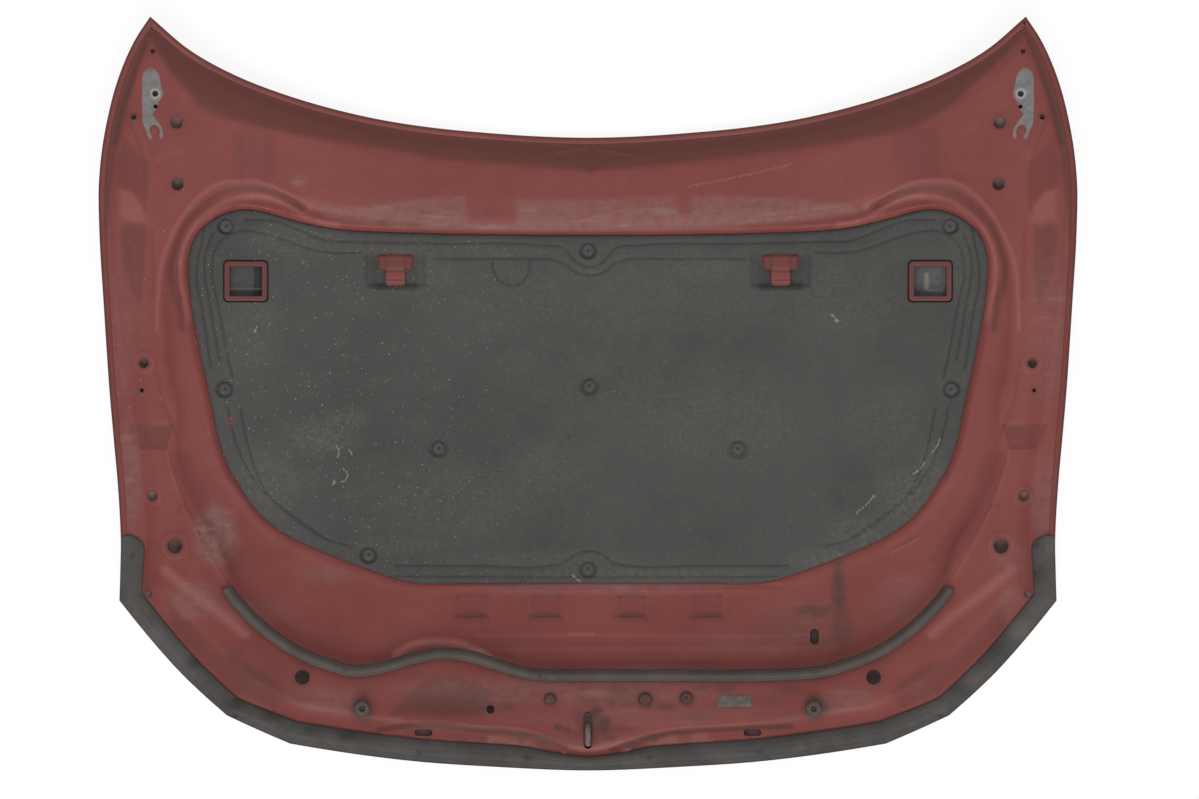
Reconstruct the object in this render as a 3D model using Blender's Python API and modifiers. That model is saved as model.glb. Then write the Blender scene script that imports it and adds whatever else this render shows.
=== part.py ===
"""Car bonnet, lying on its outer skin with its underside up.

Metres, +Z up. +X is across the bonnet, +Y points to its windscreen edge and -Y to its nose.
The outer skin is a shallow dome whose lowest point touches z = 0. The inner frame is one pressing,
lofted through closed rings that run round the bonnet from the hem to the middle of the pad tray.
"""
import math

import bmesh
import bpy
from mathutils import Matrix, Vector
from mathutils.bvhtree import BVHTree

# Overall size and the dome of the outer skin
BONNET_WIDTH = 1.467
BONNET_LENGTH = 1.128
SIDE_RISE = 0.060
SIDE_CURVE = 2.6
NOSE_RISE = 0.095
NOSE_CURVE = 2.6
REAR_RISE = 0.025
REAR_CURVE = 2.0
LOWEST_Y = -0.044

# Sheets and the folded hem
SKIN_THICKNESS = 0.0008
FRAME_THICKNESS = 0.0007
HEM_GAP = 0.0004
HEM_LIP = 0.0095
HEM_FOLD_STEPS = 3
FRAME_EDGE_INSET = 0.0016
SEAT_GAP = 0.0003
SEAT_SAMPLES = 12
FACET_CLEARANCE = 0.0001
SHARP_ANGLE = 28

# Outlines in millimetres, as seen from above: the right half, from the rear centre round to the front centre.
# Each row ends on a spoke: tip, shoulder, seal end, corner, chamfer, nose corner, front centre.
TABLE_WIDTH = 1467.0
TABLE_LENGTH = 1128.0
OUTLINE = (
    ((0, 385), (150, 392), (300, 409.5), (400, 432), (500, 465), (580, 502.5), (656, 564)),
    ((678, 530), (704, 470), (720, 410), (730, 350), (733.5, 290)),
    ((732, 230), (726.8, 140), (717, -10), (704, -160), (701, -215)),
    ((701, -250), (702, -311)),
    ((654, -370), (598.5, -430), (540, -482)),
    ((492, -504), (445, -524)),
    ((373, -536), (253, -551), (133, -559), (0, -564)),
)
OUTLINE_CORNERS = (1, 4, 5, 6)
RIDGE = (
    ((0, 275), (130, 276), (266, 281), (400, 296), (455, 308), (500, 315)),
    ((545, 314), (590, 290), (618, 245), (640, 185)),
    ((645, 118), (643, 61), (636, 10), (622, -47), (630, -82), (622, -125), (600, -172)),
    ((585, -200), (566, -230)),
    ((541, -293), (509, -331), (470, -365)),
    ((430, -390), (395, -404)),
    ((364, -414), (320, -420), (260, -422.5), (120, -423), (0, -423)),
)
PAD = (
    ((0, 237), (133, 237.5), (266, 240), (380, 246), (425, 254), (470, 266)),
    ((515, 275), (552, 266), (588, 236), (599.5, 193)),
    ((597, 150), (591, 107), (568, -4), (550, -85), (540, -112)),
    ((525, -136), (512, -158)),
    ((486, -188), (456, -211), (425, -227)),
    ((380, -246), (330, -265)),
    ((267, -284), (180, -285.5), (0, -285.5)),
)
SECTOR_STEPS = (9, 7, 7, 2, 5, 3, 9)
SEAL_END_SPOKE = 3
CORNER_SPOKE = 4

# Sections of the frame in millimetres, at the eight spokes from rear centre to front centre
WALL_FOOT_INSET = (13, 13, 13, 37, 34, 31, 35, 35)
WALL_TOP_INSET = (34, 30, 40, 60, 66, 66, 60, 56)
LAND_HALF_WIDTH = (20, 9, 9, 9, 10, 10, 10, 10)
WALL_TOP_RISE = (14, 12, 15, 20, 26, 30, 31, 31)
BOX_OUTER_RISE = (20, 17, 20, 22, 28, 32, 33, 34)
BOX_MIDDLE_RISE = (22, 18, 22, 23, 29, 33, 34, 34)
LAND_RISE = (24, 21, 24, 24, 30, 33, 34, 34)
VALLEY_OUTER_RISE = (22, 15, 15, 16, 17, 17, 17, 17)
VALLEY_INNER_RISE = (20, 15, 15, 14, 13, 13, 13, 13)
BEAD_RISE = (20.5, 21, 21, 20, 17, 15.5, 15, 15)
PAD_SEAT_RISE = (13, 13, 13, 13, 13, 13, 13, 13)
TRAY_RISE = 0.009

# Places of the rings between the wall and the pad, as shares of the way in
BOX_OUTER_AT = 0.30
BOX_MIDDLE_AT = 0.65
VALLEY_OUTER_AT = (0.20, 0.25, 0.30, 0.20, 0.20, 0.15, 0.12, 0.12)
VALLEY_INNER_AT = (0.50, 0.55, 0.50, 0.70, 0.80, 0.84, 0.86, 0.86)
BEAD_AT = (0.70, 0.80, 0.74, 0.88, 0.92, 0.94, 0.95, 0.95)
PAD_SEAT_OUT = 0.0025
TRAY_EDGE_IN = 0.0080
TRAY_MIDDLE_AT = 0.55
SKIN_RING_AT = 0.5

# The front wall comes forward round the latch, and the seal land bows rearward round the dish
LATCH_BOW_HALF = 0.125
LATCH_FOOT_BOW = 0.012
LATCH_TOP_BOW = 0.025
ARCH_X = -212
ARCH_HALF = 0.150
ARCH_DEPTH = 0.033
DISH_CENTRE = (-226, -457)
DISH_HALF = (0.085, 0.045)
DISH_DEPTH = 0.007

# Pad
PAD_TOP_RISE = 0.0215
PAD_BORDER_RISE = 0.0190
PAD_GROOVE_RISE = 0.0165
PAD_EDGE_RISE = 0.0158
PAD_EDGE_IN = 0.0015
PAD_BORDER_IN = 0.009
PAD_GROOVE_IN = 0.016
PAD_FIELD_IN = 0.034
PAD_BEVEL_IN = 0.024
PAD_SKIRT_RISE = 0.0130
PAD_EDGE_LIFT = 0.0002
PAD_CUT_DEPTH = 0.080
PAD_CLIPS = (
    ("top_centre", 0, 215), ("top_left", -544, 251), ("top_right", 544, 251), ("mid_left", -546, 6),
    ("mid_right", 546, 6), ("centre", 2, 11), ("lower_left", -225, -83), ("lower_right", 226, -83),
    ("bottom_centre", 0, -265), ("bottom_left", -330, -243.5),
)
CLIP_HEAD_RADIUS = 0.0100
CLIP_HEAD_HEIGHT = 0.0030
CLIP_STEM_RADIUS = 0.0030
CLIP_STEM_BELOW = 0.0040
CLIP_BOX_HEIGHT = 0.0045
CLIP_RIM = 0.0008
CLIP_HOLE_CLEARANCE = 0.0010
CLIP_DIMPLE_CLEARANCE = 0.0020
CLIP_DIMPLE_DEPTH = 0.030
CLIP_CUT_BELOW = 0.010
CLIP_CUT_ABOVE = 0.005
CLIP_STEPS = 10

# Square collars of the frame that stand through the pad
COLLAR_CENTRE = (514, 168)
COLLAR_SIZE = (0.064, 0.060)
COLLAR_OPENING = (0.048, 0.043)
COLLAR_HEIGHT = 0.0115
COLLAR_LIP_DROP = 0.005
COLLAR_CORNER = 0.006
COLLAR_PAD_CLEARANCE = 0.0015

# T-shaped hooks of the frame that hold the pad's top
HOOK_X = 290
HOOK_Y = 198
HOOK_BAR_WIDTH = 0.055
HOOK_BAR_DEPTH = 0.024
HOOK_TONGUE_WIDTH = 0.028
HOOK_TONGUE_LENGTH = 0.025
HOOK_HEIGHT = 0.0115
HOOK_EAR_DROP = 0.0035
HOOK_FOOT_SLOPE = 0.002
HOOK_SHOULDER = 0.006
HOOK_CREASE_DROP = 0.0015
HOOK_TIP = 0.006
HOOK_TIP_DROP = 0.004
HOOK_SHEET = 0.00105
HOOK_CLEARANCE = 0.0020
HOOK_RECESS_SIZE = (0.096, 0.062)
HOOK_RECESS_FLOOR = 0.0060
HOOK_RECESS_CORNER = 0.008
HOOK_SLIT_CORNER = 0.003

# Holes through the frame: x, y in outline millimetres, radius in metres
MIRRORED_HOLES = (
    ("access_front", 427, -425, 0.0110), ("access_side", 619, -229.4, 0.0110),
    ("small_side", 653.3, -155, 0.0072), ("round_side", 665.8, 44.6, 0.0072),
    ("pin_side", 669, 4, 0.0031), ("rear_upper", 616.7, 405, 0.0090), ("rear_lower", 615.3, 312.8, 0.0090),
    ("rear_outer", 680, 413, 0.0042), ("tip", 651.5, 512, 0.0038), ("seal_side", 659, -301, 0.0054),
)
SINGLE_HOLES = (("dish_side", -145.7, -473, 0.0063),)
HOLE_SIDES = 10
SMALL_HOLE_SIDES = 6
SMALL_HOLE_RADIUS = 0.0042
HOLE_PIN_LENGTH = 0.012
SLOT_CUT_DEPTH = 0.016
FRONT_SLOT = (246, -508, 0.027, 0.0105)
PROP_SLOT = (340, -366, 0.0135, 0.0235)

# Front seal, its section across the width
FRONT_SEAL_OUTER = 0.0035
FRONT_SEAL_INNER_GAP = 0.0012
FRONT_SEAL_HEIGHT = 0.0085
FRONT_SEAL_EDGE = 0.0030
FRONT_SEAL_CROWN = (0.45, 0.72)

# Seal on the land behind the nose
BAY_SEAL_WIDTH = 0.018
BAY_SEAL_HEIGHT = 0.0150
BAY_SEAL_WALL = 0.0035
BAY_SEAL_SHOULDER = (0.72, 0.62)
BAY_SEAL_TOP = 0.45
BAY_SEAL_START_STEPS = 2

# Striker
STRIKER_WIRE = 0.0085
STRIKER_REACH = 0.034
STRIKER_AT = (0, -509.5)
STRIKER_SPAN = 0.026
STRIKER_BEND = 0.0105
STRIKER_SLOT = (0.0135, 0.0550)
STRIKER_SLOT_BACK = 0.006
STRIKER_CUT_DEPTH = 0.060
STRIKER_PLATE_CORNER = 0.008
STRIKER_PLATE = (0.050, 0.052)
STRIKER_PLATE_BACK = 0.008
PLATE_THICKNESS = 0.0020

# Hinge seats, with bolts and weld nuts
HINGE_SEAT = (647.5, 432)
HINGE_SEAT_LIFT = 0.0008
HINGE_SEAT_SIZE = (0.034, 0.088)
HINGE_BOLT_RADIUS = 0.00435
HINGE_GAUGE_RADIUS = 0.00345
HINGE_BOLT_AT = 0.016
HINGE_GAUGE_AT = -0.003
HINGE_PLATE = (0.044, 0.086)
HINGE_PLATE_CORNER = 0.006
NUT_WIDTH = 0.013
NUT_HEIGHT = 0.0065
NUT_BORE_RADIUS = 0.0040

# Buffers and plugs in the front plateau
BUFFER_AT = (337.5, -472)
BUFFER_RADIUS = 0.0125
BUFFER_HEIGHT = 0.0140
BUFFER_NECK_RADIUS = 0.0060
BUFFER_FOOT = 0.0050
BUFFER_DIMPLE = (0.004, 0.003)
PLUGS = (("left", -56.6, -458.4, 0.0096), ("centre", 85.4, -458.7, 0.0110), ("right", 147, -456.5, 0.0100))
PLUG_DOME = 0.0025
PLUG_RIM = 0.0020
PLUG_FOOT = 0.0045
PLUG_EDGE = 0.0007
NECK_CLEARANCE = 0.0005
TURNED_STEPS = 12

# Worn foil patch and mastic dots
FOIL_CENTRE = (219, -461.5)
FOIL_SIZE = (0.050, 0.016)
FOIL_THICKNESS = 0.0003
FOIL_COLUMNS = 4
MASTIC_DOTS = ((-430, 60), (0, 60), (430, 60), (-400, -110), (0, -90), (400, -110))
MASTIC_RADIUS = 0.014
MASTIC_GAP = 0.0005


def start_scene():
    """Clears the scene and makes the collections for the parts and for the cutters."""
    for item in list(bpy.data.objects):
        bpy.data.objects.remove(item, do_unlink=True)
    parts = bpy.data.collections.new("car_bonnet")
    cutters = bpy.data.collections.new("cutters")
    bpy.context.scene.collection.children.link(parts)
    bpy.context.scene.collection.children.link(cutters)
    return parts, cutters


PARTS, CUTTERS = start_scene()


def linear(channel):
    """One displayed colour channel, 0 to 255, as the linear value that a shader takes."""
    value = channel / 255
    return value / 12.92 if value <= 0.04045 else ((value + 0.055) / 1.055) ** 2.4


def material(name, colour, roughness, metallic=0.0):
    finish = bpy.data.materials.new(name)
    finish.use_nodes = True
    shader = finish.node_tree.nodes["Principled BSDF"]
    red, green, blue = (linear(channel) for channel in colour)
    shader.inputs["Base Color"].default_value = (red, green, blue, 1)
    shader.inputs["Roughness"].default_value = roughness
    shader.inputs["Metallic"].default_value = metallic
    finish.diffuse_color = (red, green, blue, 1)
    return finish


def red_paint():
    return material("red_paint", (132, 70, 67), 0.45)


def grey_primer():
    return material("grey_primer", (119, 119, 116), 0.6)


def felt():
    return material("felt", (81, 79, 76), 0.95)


def seal_rubber():
    return material("seal_rubber", (82, 80, 78), 0.75)


def clip_plastic():
    return material("clip_plastic", (74, 71, 68), 0.6)


def buffer_rubber():
    return material("buffer_rubber", (78, 69, 66), 0.8)


def bare_steel():
    return material("bare_steel", (128, 122, 118), 0.4, 1.0)


def foil():
    return material("foil", (108, 99, 96), 0.5, 0.4)


def mastic():
    return material("mastic", (96, 92, 84), 0.9)


def new_object(name, data, finish=None, cutter=False):
    """Adds an object to the parts, or to the cutters as a wire guide."""
    item = bpy.data.objects.new(name, data)
    if cutter:
        CUTTERS.objects.link(item)
        item.hide_render = True
        item.display_type = "WIRE"
    else:
        PARTS.objects.link(item)
    if finish is not None and not data.materials:
        data.materials.append(finish)
    return item


def plan(point):
    """A point of the outline tables, in metres."""
    return Vector((point[0] * BONNET_WIDTH / TABLE_WIDTH, point[1] * BONNET_LENGTH / TABLE_LENGTH))


def skin_z(x, y):
    """Height of the middle of the outer skin's sheet."""
    nose_run = LOWEST_Y + BONNET_LENGTH / 2
    rear_run = BONNET_LENGTH / 2 - LOWEST_Y
    along_bonnet = y - LOWEST_Y
    rise = SIDE_RISE * abs(x / (BONNET_WIDTH / 2)) ** SIDE_CURVE
    if along_bonnet < 0:
        rise += NOSE_RISE * (-along_bonnet / nose_run) ** NOSE_CURVE
    else:
        rise += REAR_RISE * (along_bonnet / rear_run) ** REAR_CURVE
    return rise + SKIN_THICKNESS / 2


def smooth(share):
    share = min(max(share, 0.0), 1.0)
    return share * share * (3 - 2 * share)


def bump(distance):
    """One at zero, falling smoothly to nothing at one."""
    return smooth(1 - abs(distance))


def hermite(start, end, start_pull, end_pull, share):
    square = share * share
    cube = square * share
    return (start * (2 * cube - 3 * square + 1) + start_pull * (cube - 2 * square + share)
            + end * (3 * square - 2 * cube) + end_pull * (cube - square))


def key_pull(before, here, after):
    """Direction in which a curve passes a key point, for unit length along it."""
    length_before = (here - before).length
    length_after = (after - here).length
    slope_before = (here - before) / length_before
    slope_after = (after - here) / length_after
    return (slope_before * length_after + slope_after * length_before) / (length_before + length_after)


def half_ring(table, corners=()):
    """The right half of a ring: a smooth curve through the table's points, cut into the stations."""
    keys = [plan(point) for row in table for point in row]
    ends = [0]
    for row in table:
        ends.append(ends[-1] + len(row))
    ends = [0] + [end - 1 for end in ends[1:]]
    sharp = {ends[corner] for corner in corners}
    before_first = Vector((-keys[1].x, keys[1].y))
    after_last = Vector((-keys[-2].x, keys[-2].y))
    padded = [before_first] + keys + [after_last]
    stations = []
    for sector, steps in enumerate(SECTOR_STEPS):
        dense = []
        for key in range(ends[sector], ends[sector + 1]):
            start, end = keys[key], keys[key + 1]
            chord = end - start
            pulls = [key_pull(padded[k], padded[k + 1], padded[k + 2]) * chord.length for k in (key, key + 1)]
            if key in sharp:
                pulls[0] = chord
            if key + 1 in sharp:
                pulls[1] = chord
            dense += [hermite(start, end, pulls[0], pulls[1], step / 16) for step in range(16)]
        dense.append(keys[ends[sector + 1]])
        stations += even_points(dense, steps)
    stations.append(keys[-1])
    return stations


def even_points(line, steps):
    """Points at even distances along a line, without its end."""
    lengths = [0.0]
    for start, end in zip(line, line[1:]):
        lengths.append(lengths[-1] + (end - start).length)
    points = []
    piece = 0
    for step in range(steps):
        target = lengths[-1] * step / steps
        while lengths[piece + 1] < target:
            piece += 1
        share = (target - lengths[piece]) / (lengths[piece + 1] - lengths[piece])
        points.append(line[piece].lerp(line[piece + 1], share))
    return points


def whole(half):
    """A half ring or half list with its mirror image: right side down, left side back up."""
    if isinstance(half[0], Vector):
        return half + [Vector((-point.x, point.y)) for point in reversed(half[1:-1])]
    return half + list(reversed(half[1:-1]))


def along(values, scale=0.001):
    """Values given at the spokes, spread smoothly over all stations."""
    half = []
    for sector, steps in enumerate(SECTOR_STEPS):
        for step in range(steps):
            share = smooth(step / steps)
            half.append((values[sector] * (1 - share) + values[sector + 1] * share) * scale)
    half.append(values[-1] * scale)
    return whole(half)


def inset(ring, distances):
    """The ring moved inwards by a distance for each station, with mitred corners."""
    if isinstance(distances, float):
        distances = [distances] * len(ring)
    moved = []
    for index, here in enumerate(ring):
        before = (here - ring[index - 1]).normalized()
        after = (ring[(index + 1) % len(ring)] - here).normalized()
        normal_before = Vector((before.y, -before.x))
        normal_after = Vector((after.y, -after.x))
        normal = (normal_before + normal_after).normalized()
        moved.append(here + normal * distances[index] / max(normal.dot(normal_before), 0.5))
    return moved


def between(outer, inner, shares):
    if isinstance(shares, float):
        shares = [shares] * len(outer)
    return [start.lerp(end, share) for start, end, share in zip(outer, inner, shares)]


def lifted(ring, rises):
    """The ring in space, at a rise for each station above the outer skin."""
    if isinstance(rises, float):
        rises = [rises] * len(ring)
    return [Vector((point.x, point.y, skin_z(point.x, point.y) + rise)) for point, rise in zip(ring, rises)]


def latch_bow(ring, depth):
    """How far the wall comes forward round the latch, for each station."""
    return [depth * bump(point.x / LATCH_BOW_HALF) if point.y < 0 else 0.0 for point in ring]


ARCH_BEFORE_Y = plan(RIDGE[4][2]).y


def arched(ring):
    """The seal's line, bowed rearward on its left round the dish."""
    middle = plan((ARCH_X, 0)).x
    moved = []
    for point in ring:
        bow = ARCH_DEPTH * bump((point.x - middle) / ARCH_HALF) if point.y < ARCH_BEFORE_Y else 0.0
        moved.append(Vector((point.x, point.y + bow)))
    return moved


OUTLINE_RING = whole(half_ring(OUTLINE, OUTLINE_CORNERS))
PAD_RING = whole(half_ring(PAD))
RIDGE_RING = arched(whole(half_ring(RIDGE)))
STATIONS = len(OUTLINE_RING)
FOLD_RISE = (SKIN_THICKNESS + FRAME_THICKNESS) / 2 + HEM_GAP


def wall_foot_distances():
    """How far in from the outline the wall's foot runs, for each station."""
    bows = latch_bow(OUTLINE_RING, LATCH_FOOT_BOW)
    return [value - bow for value, bow in zip(along(WALL_FOOT_INSET), bows)]


def plan_rings():
    """The frame's rings in plan, from the hem to the middle of the tray."""
    rings = {}
    top = [value - bow for value, bow in zip(along(WALL_TOP_INSET), latch_bow(OUTLINE_RING, LATCH_TOP_BOW))]
    rings["hem"] = inset(OUTLINE_RING, FRAME_EDGE_INSET)
    rings["wall_foot"] = inset(OUTLINE_RING, wall_foot_distances())
    rings["wall_top"] = inset(OUTLINE_RING, top)
    rings["land_outer"] = inset(RIDGE_RING, [-width for width in along(LAND_HALF_WIDTH)])
    rings["land_inner"] = inset(RIDGE_RING, along(LAND_HALF_WIDTH))
    rings["box_outer"] = between(rings["wall_top"], rings["land_outer"], BOX_OUTER_AT)
    rings["box_middle"] = between(rings["wall_top"], rings["land_outer"], BOX_MIDDLE_AT)
    rings["pad_seat"] = inset(PAD_RING, -PAD_SEAT_OUT)
    places = (("valley_outer", VALLEY_OUTER_AT), ("valley_inner", VALLEY_INNER_AT), ("bead", BEAD_AT))
    for name, shares in places:
        rings[name] = between(rings["land_inner"], rings["pad_seat"], along(shares, 1.0))
    rings["tray_edge"] = inset(PAD_RING, TRAY_EDGE_IN)
    rings["tray_middle"] = [point * TRAY_MIDDLE_AT for point in PAD_RING]
    return rings


RINGS = plan_rings()


def dished(ring):
    """Lowers the points of a ring that lie in the dish."""
    centre = plan(DISH_CENTRE)
    for point in ring:
        across = (point.x - centre.x) / DISH_HALF[0]
        lengthwise = (point.y - centre.y) / DISH_HALF[1]
        point.z -= DISH_DEPTH * bump(math.hypot(across, lengthwise))
    return ring


def ring_size(ring):
    return sum(math.hypot(point[0], point[1]) for point in ring) / len(ring)


def loft(rings, centre=None):
    """Points and faces of a surface through closed rings, closed by a fan to its centre.

    Each strip is split from a station of its wider ring to the next station of its narrower one,
    so that nested sheets have parallel facets and keep their gap.
    """
    points = [tuple(point) for ring in rings for point in ring]
    count = len(rings[0])
    faces = []
    for ring in range(len(rings) - 1):
        wide, narrow = ring * count, (ring + 1) * count
        if ring_size(rings[ring + 1]) > ring_size(rings[ring]):
            wide, narrow = narrow, wide
        for station in range(count):
            following = (station + 1) % count
            faces.append((wide + station, wide + following, narrow + following))
            faces.append((wide + station, narrow + following, narrow + station))
    if centre is not None:
        points.append(centre)
        last = (len(rings) - 1) * count
        faces += [(last + station, last + (station + 1) % count, len(points) - 1) for station in range(count)]
    return points, faces


def mesh_of(name, points, faces):
    mesh = bpy.data.meshes.new(name)
    mesh.from_pydata(points, [], faces)
    mesh.validate()
    shape = bmesh.new()
    shape.from_mesh(mesh)
    bmesh.ops.recalc_face_normals(shape, faces=shape.faces)
    shape.to_mesh(mesh)
    shape.free()
    return mesh


def solidify(item, thickness):
    wall = item.modifiers.new("sheet", "SOLIDIFY")
    wall.thickness = thickness
    wall.offset = 0
    wall.use_even_offset = True


def boolean(item, other, operation):
    cut = item.modifiers.new(f"{operation.lower()}_{other.name}", "BOOLEAN")
    cut.object = other
    cut.operation = operation
    cut.solver = "EXACT"


def loft_solid(name, sections):
    """A closed body through closed sections, with flat ends."""
    count = len(sections[0])
    points = [tuple(point) for section in sections for point in section]
    faces = []
    for row in range(len(sections) - 1):
        for index in range(count):
            following = (index + 1) % count
            start, end = row * count, (row + 1) * count
            faces.append((start + index, start + following, end + following, end + index))
    faces.append(tuple(range(count)))
    faces.append(tuple(len(points) - 1 - index for index in range(count)))
    return mesh_of(name, points, faces)


def frame_sheet():
    """Middle of the inner frame's sheet, as points and faces."""
    heights = (
        ("hem", FOLD_RISE), ("wall_foot", FOLD_RISE), ("wall_top", along(WALL_TOP_RISE)),
        ("box_outer", along(BOX_OUTER_RISE)),
        ("box_middle", along(BOX_MIDDLE_RISE)), ("land_outer", along(LAND_RISE)),
        ("land_inner", along(LAND_RISE)), ("valley_outer", along(VALLEY_OUTER_RISE)),
        ("valley_inner", along(VALLEY_INNER_RISE)), ("bead", along(BEAD_RISE)),
        ("pad_seat", along(PAD_SEAT_RISE)), ("tray_edge", TRAY_RISE), ("tray_middle", TRAY_RISE),
    )
    rings = [lifted(RINGS[name], rise) for name, rise in heights]
    dished(rings[3])
    dished(rings[4])
    return loft(rings, (0, 0, skin_z(0, 0) + TRAY_RISE))


FRAME_POINTS, FRAME_FACES = frame_sheet()
FRAME_TREE = BVHTree.FromPolygons(FRAME_POINTS, FRAME_FACES)


def sheet_z(tree, x, y):
    """Height of a sheet at one place."""
    hit = tree.ray_cast(Vector((x, y, 1)), Vector((0, 0, -1)))
    return hit[0].z


def local_plane(tree, x, y, reach_x, reach_y):
    """Placement on a sheet: origin on it, Z square to its mean slope, X kept across the bonnet."""
    slope_x = (sheet_z(tree, x + reach_x, y) - sheet_z(tree, x - reach_x, y)) / (2 * reach_x)
    slope_y = (sheet_z(tree, x, y + reach_y) - sheet_z(tree, x, y - reach_y)) / (2 * reach_y)
    normal = Vector((-slope_x, -slope_y, 1)).normalized()
    across = Vector((1, 0, slope_x)).normalized()
    upward = normal.cross(across)
    turn = Matrix((across, upward, normal)).transposed().to_4x4()
    return Matrix.Translation((x, y, sheet_z(tree, x, y))) @ turn


def highest_over(tree, placement, size):
    """How far a sheet rises above, and falls below, a placement's plane within a rectangle."""
    back = placement.inverted()
    heights = []
    shares = [step / SEAT_SAMPLES - 0.5 for step in range(SEAT_SAMPLES + 1)]
    for across in shares:
        for lengthwise in shares:
            spot = placement @ Vector((across * size[0], lengthwise * size[1], 0))
            heights.append((back @ Vector((spot.x, spot.y, sheet_z(tree, spot.x, spot.y)))).z)
    return max(heights), min(heights)


def seat_over(placement, radius):
    """Height above a placement at which a disc clears the sheet by the seat gap."""
    high, _ = highest_over(FRAME_TREE, placement, (2 * radius, 2 * radius))
    return max(high, 0) + FRAME_THICKNESS / 2 + SEAT_GAP


def turned(name, profile):
    """A mesh that holds a profile of radius and height, top to bottom, for a Screw modifier."""
    mesh = bpy.data.meshes.new(name)
    edges = [(index, index + 1) for index in range(len(profile) - 1)]
    mesh.from_pydata([(radius, 0, height) for radius, height in profile], edges, [])
    return mesh


def spin(item, steps):
    screw = item.modifiers.new("turn", "SCREW")
    screw.steps = steps
    screw.render_steps = steps
    screw.use_merge_vertices = True
    screw.merge_threshold = 0.00001
    screw.use_smooth_shade = True


def turned_object(name, profile, finish, placement):
    item = new_object(name, turned(name, profile), finish)
    spin(item, TURNED_STEPS)
    item.matrix_world = placement


def circle(radius, sides=HOLE_SIDES):
    turn = 2 * math.pi / sides
    return [(radius * math.cos(turn * side), radius * math.sin(turn * side)) for side in range(sides)]


def slot(width, length, end_steps=4):
    """A slot with round ends, centred, its long way along the larger size."""
    radius = min(width, length) / 2
    reach_x = width / 2 - radius
    reach_y = length / 2 - radius
    points = []
    for quarter in range(4):
        sign_x = 1 if quarter in (0, 3) else -1
        sign_y = 1 if quarter in (0, 1) else -1
        for step in range(end_steps):
            angle = math.pi / 2 * (quarter + step / (end_steps - 1))
            points.append((sign_x * reach_x + radius * math.cos(angle),
                           sign_y * reach_y + radius * math.sin(angle)))
    return without_repeats(points)


def rounded_box(width, length, radius, steps=3):
    points = []
    for quarter in range(4):
        sign_x = 1 if quarter in (0, 3) else -1
        sign_y = 1 if quarter in (0, 1) else -1
        for step in range(steps):
            angle = math.pi / 2 * (quarter + step / (steps - 1))
            points.append((sign_x * (width / 2 - radius) + radius * math.cos(angle),
                           sign_y * (length / 2 - radius) + radius * math.sin(angle)))
    return without_repeats(points)


def without_repeats(points, nearest=0.00001):
    kept = []
    for point in points:
        if not kept or math.dist(point, kept[-1]) > nearest:
            kept.append(point)
    if math.dist(kept[0], kept[-1]) < nearest:
        kept.pop()
    return kept


def flat_plate(name, outlines, thickness, placement, finish=None, cutter=False):
    """A flat outline with its holes, centred on its own plane, as a mesh."""
    curve = bpy.data.curves.new(name, "CURVE")
    curve.dimensions = "2D"
    curve.fill_mode = "BOTH"
    curve.extrude = thickness / 2
    for outline in outlines:
        spline = curve.splines.new("POLY")
        spline.points.add(len(outline) - 1)
        for point, (x, y) in zip(spline.points, outline):
            point.co = (x, y, 0, 1)
        spline.use_cyclic_u = True
    drawn = bpy.data.objects.new(name + "_outline", curve)
    CUTTERS.objects.link(drawn)
    depsgraph = bpy.context.evaluated_depsgraph_get()
    mesh = bpy.data.meshes.new_from_object(drawn.evaluated_get(depsgraph))
    bpy.data.objects.remove(drawn, do_unlink=True)
    shape = bmesh.new()
    shape.from_mesh(mesh)
    bmesh.ops.remove_doubles(shape, verts=shape.verts, dist=0.00001)
    bmesh.ops.recalc_face_normals(shape, faces=shape.faces)
    shape.to_mesh(mesh)
    shape.free()
    mesh.name = name
    item = new_object(name, mesh, finish, cutter)
    item.matrix_world = placement
    return item


def hem_section():
    """Inset and height of the skin's edge, from the end of the folded lip to the underside."""
    fold_centre = SKIN_THICKNESS / 2 + FOLD_RISE
    section = [(HEM_LIP, 2 * FOLD_RISE)]
    for step in range(HEM_FOLD_STEPS + 1):
        angle = math.pi * (0.5 + step / HEM_FOLD_STEPS)
        section.append((fold_centre + FOLD_RISE * math.cos(angle), FOLD_RISE + FOLD_RISE * math.sin(angle)))
    return section


def skin_sheet():
    rings = [lifted(inset(OUTLINE_RING, distance), height) for distance, height in hem_section()]
    rings.append(lifted(RINGS["wall_foot"], 0.0))
    rings.append(lifted(between(RINGS["wall_foot"], RINGS["tray_edge"], SKIN_RING_AT), 0.0))
    rings.append(lifted(RINGS["tray_edge"], 0.0))
    rings.append(lifted(RINGS["tray_middle"], 0.0))
    return loft(rings, (0, 0, skin_z(0, 0)))


def outer_skin(finish):
    points, faces = skin_sheet()
    item = new_object("outer_skin", mesh_of("outer_skin", points, faces), finish)
    solidify(item, SKIN_THICKNESS)
    return BVHTree.FromPolygons(points, faces)


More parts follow.
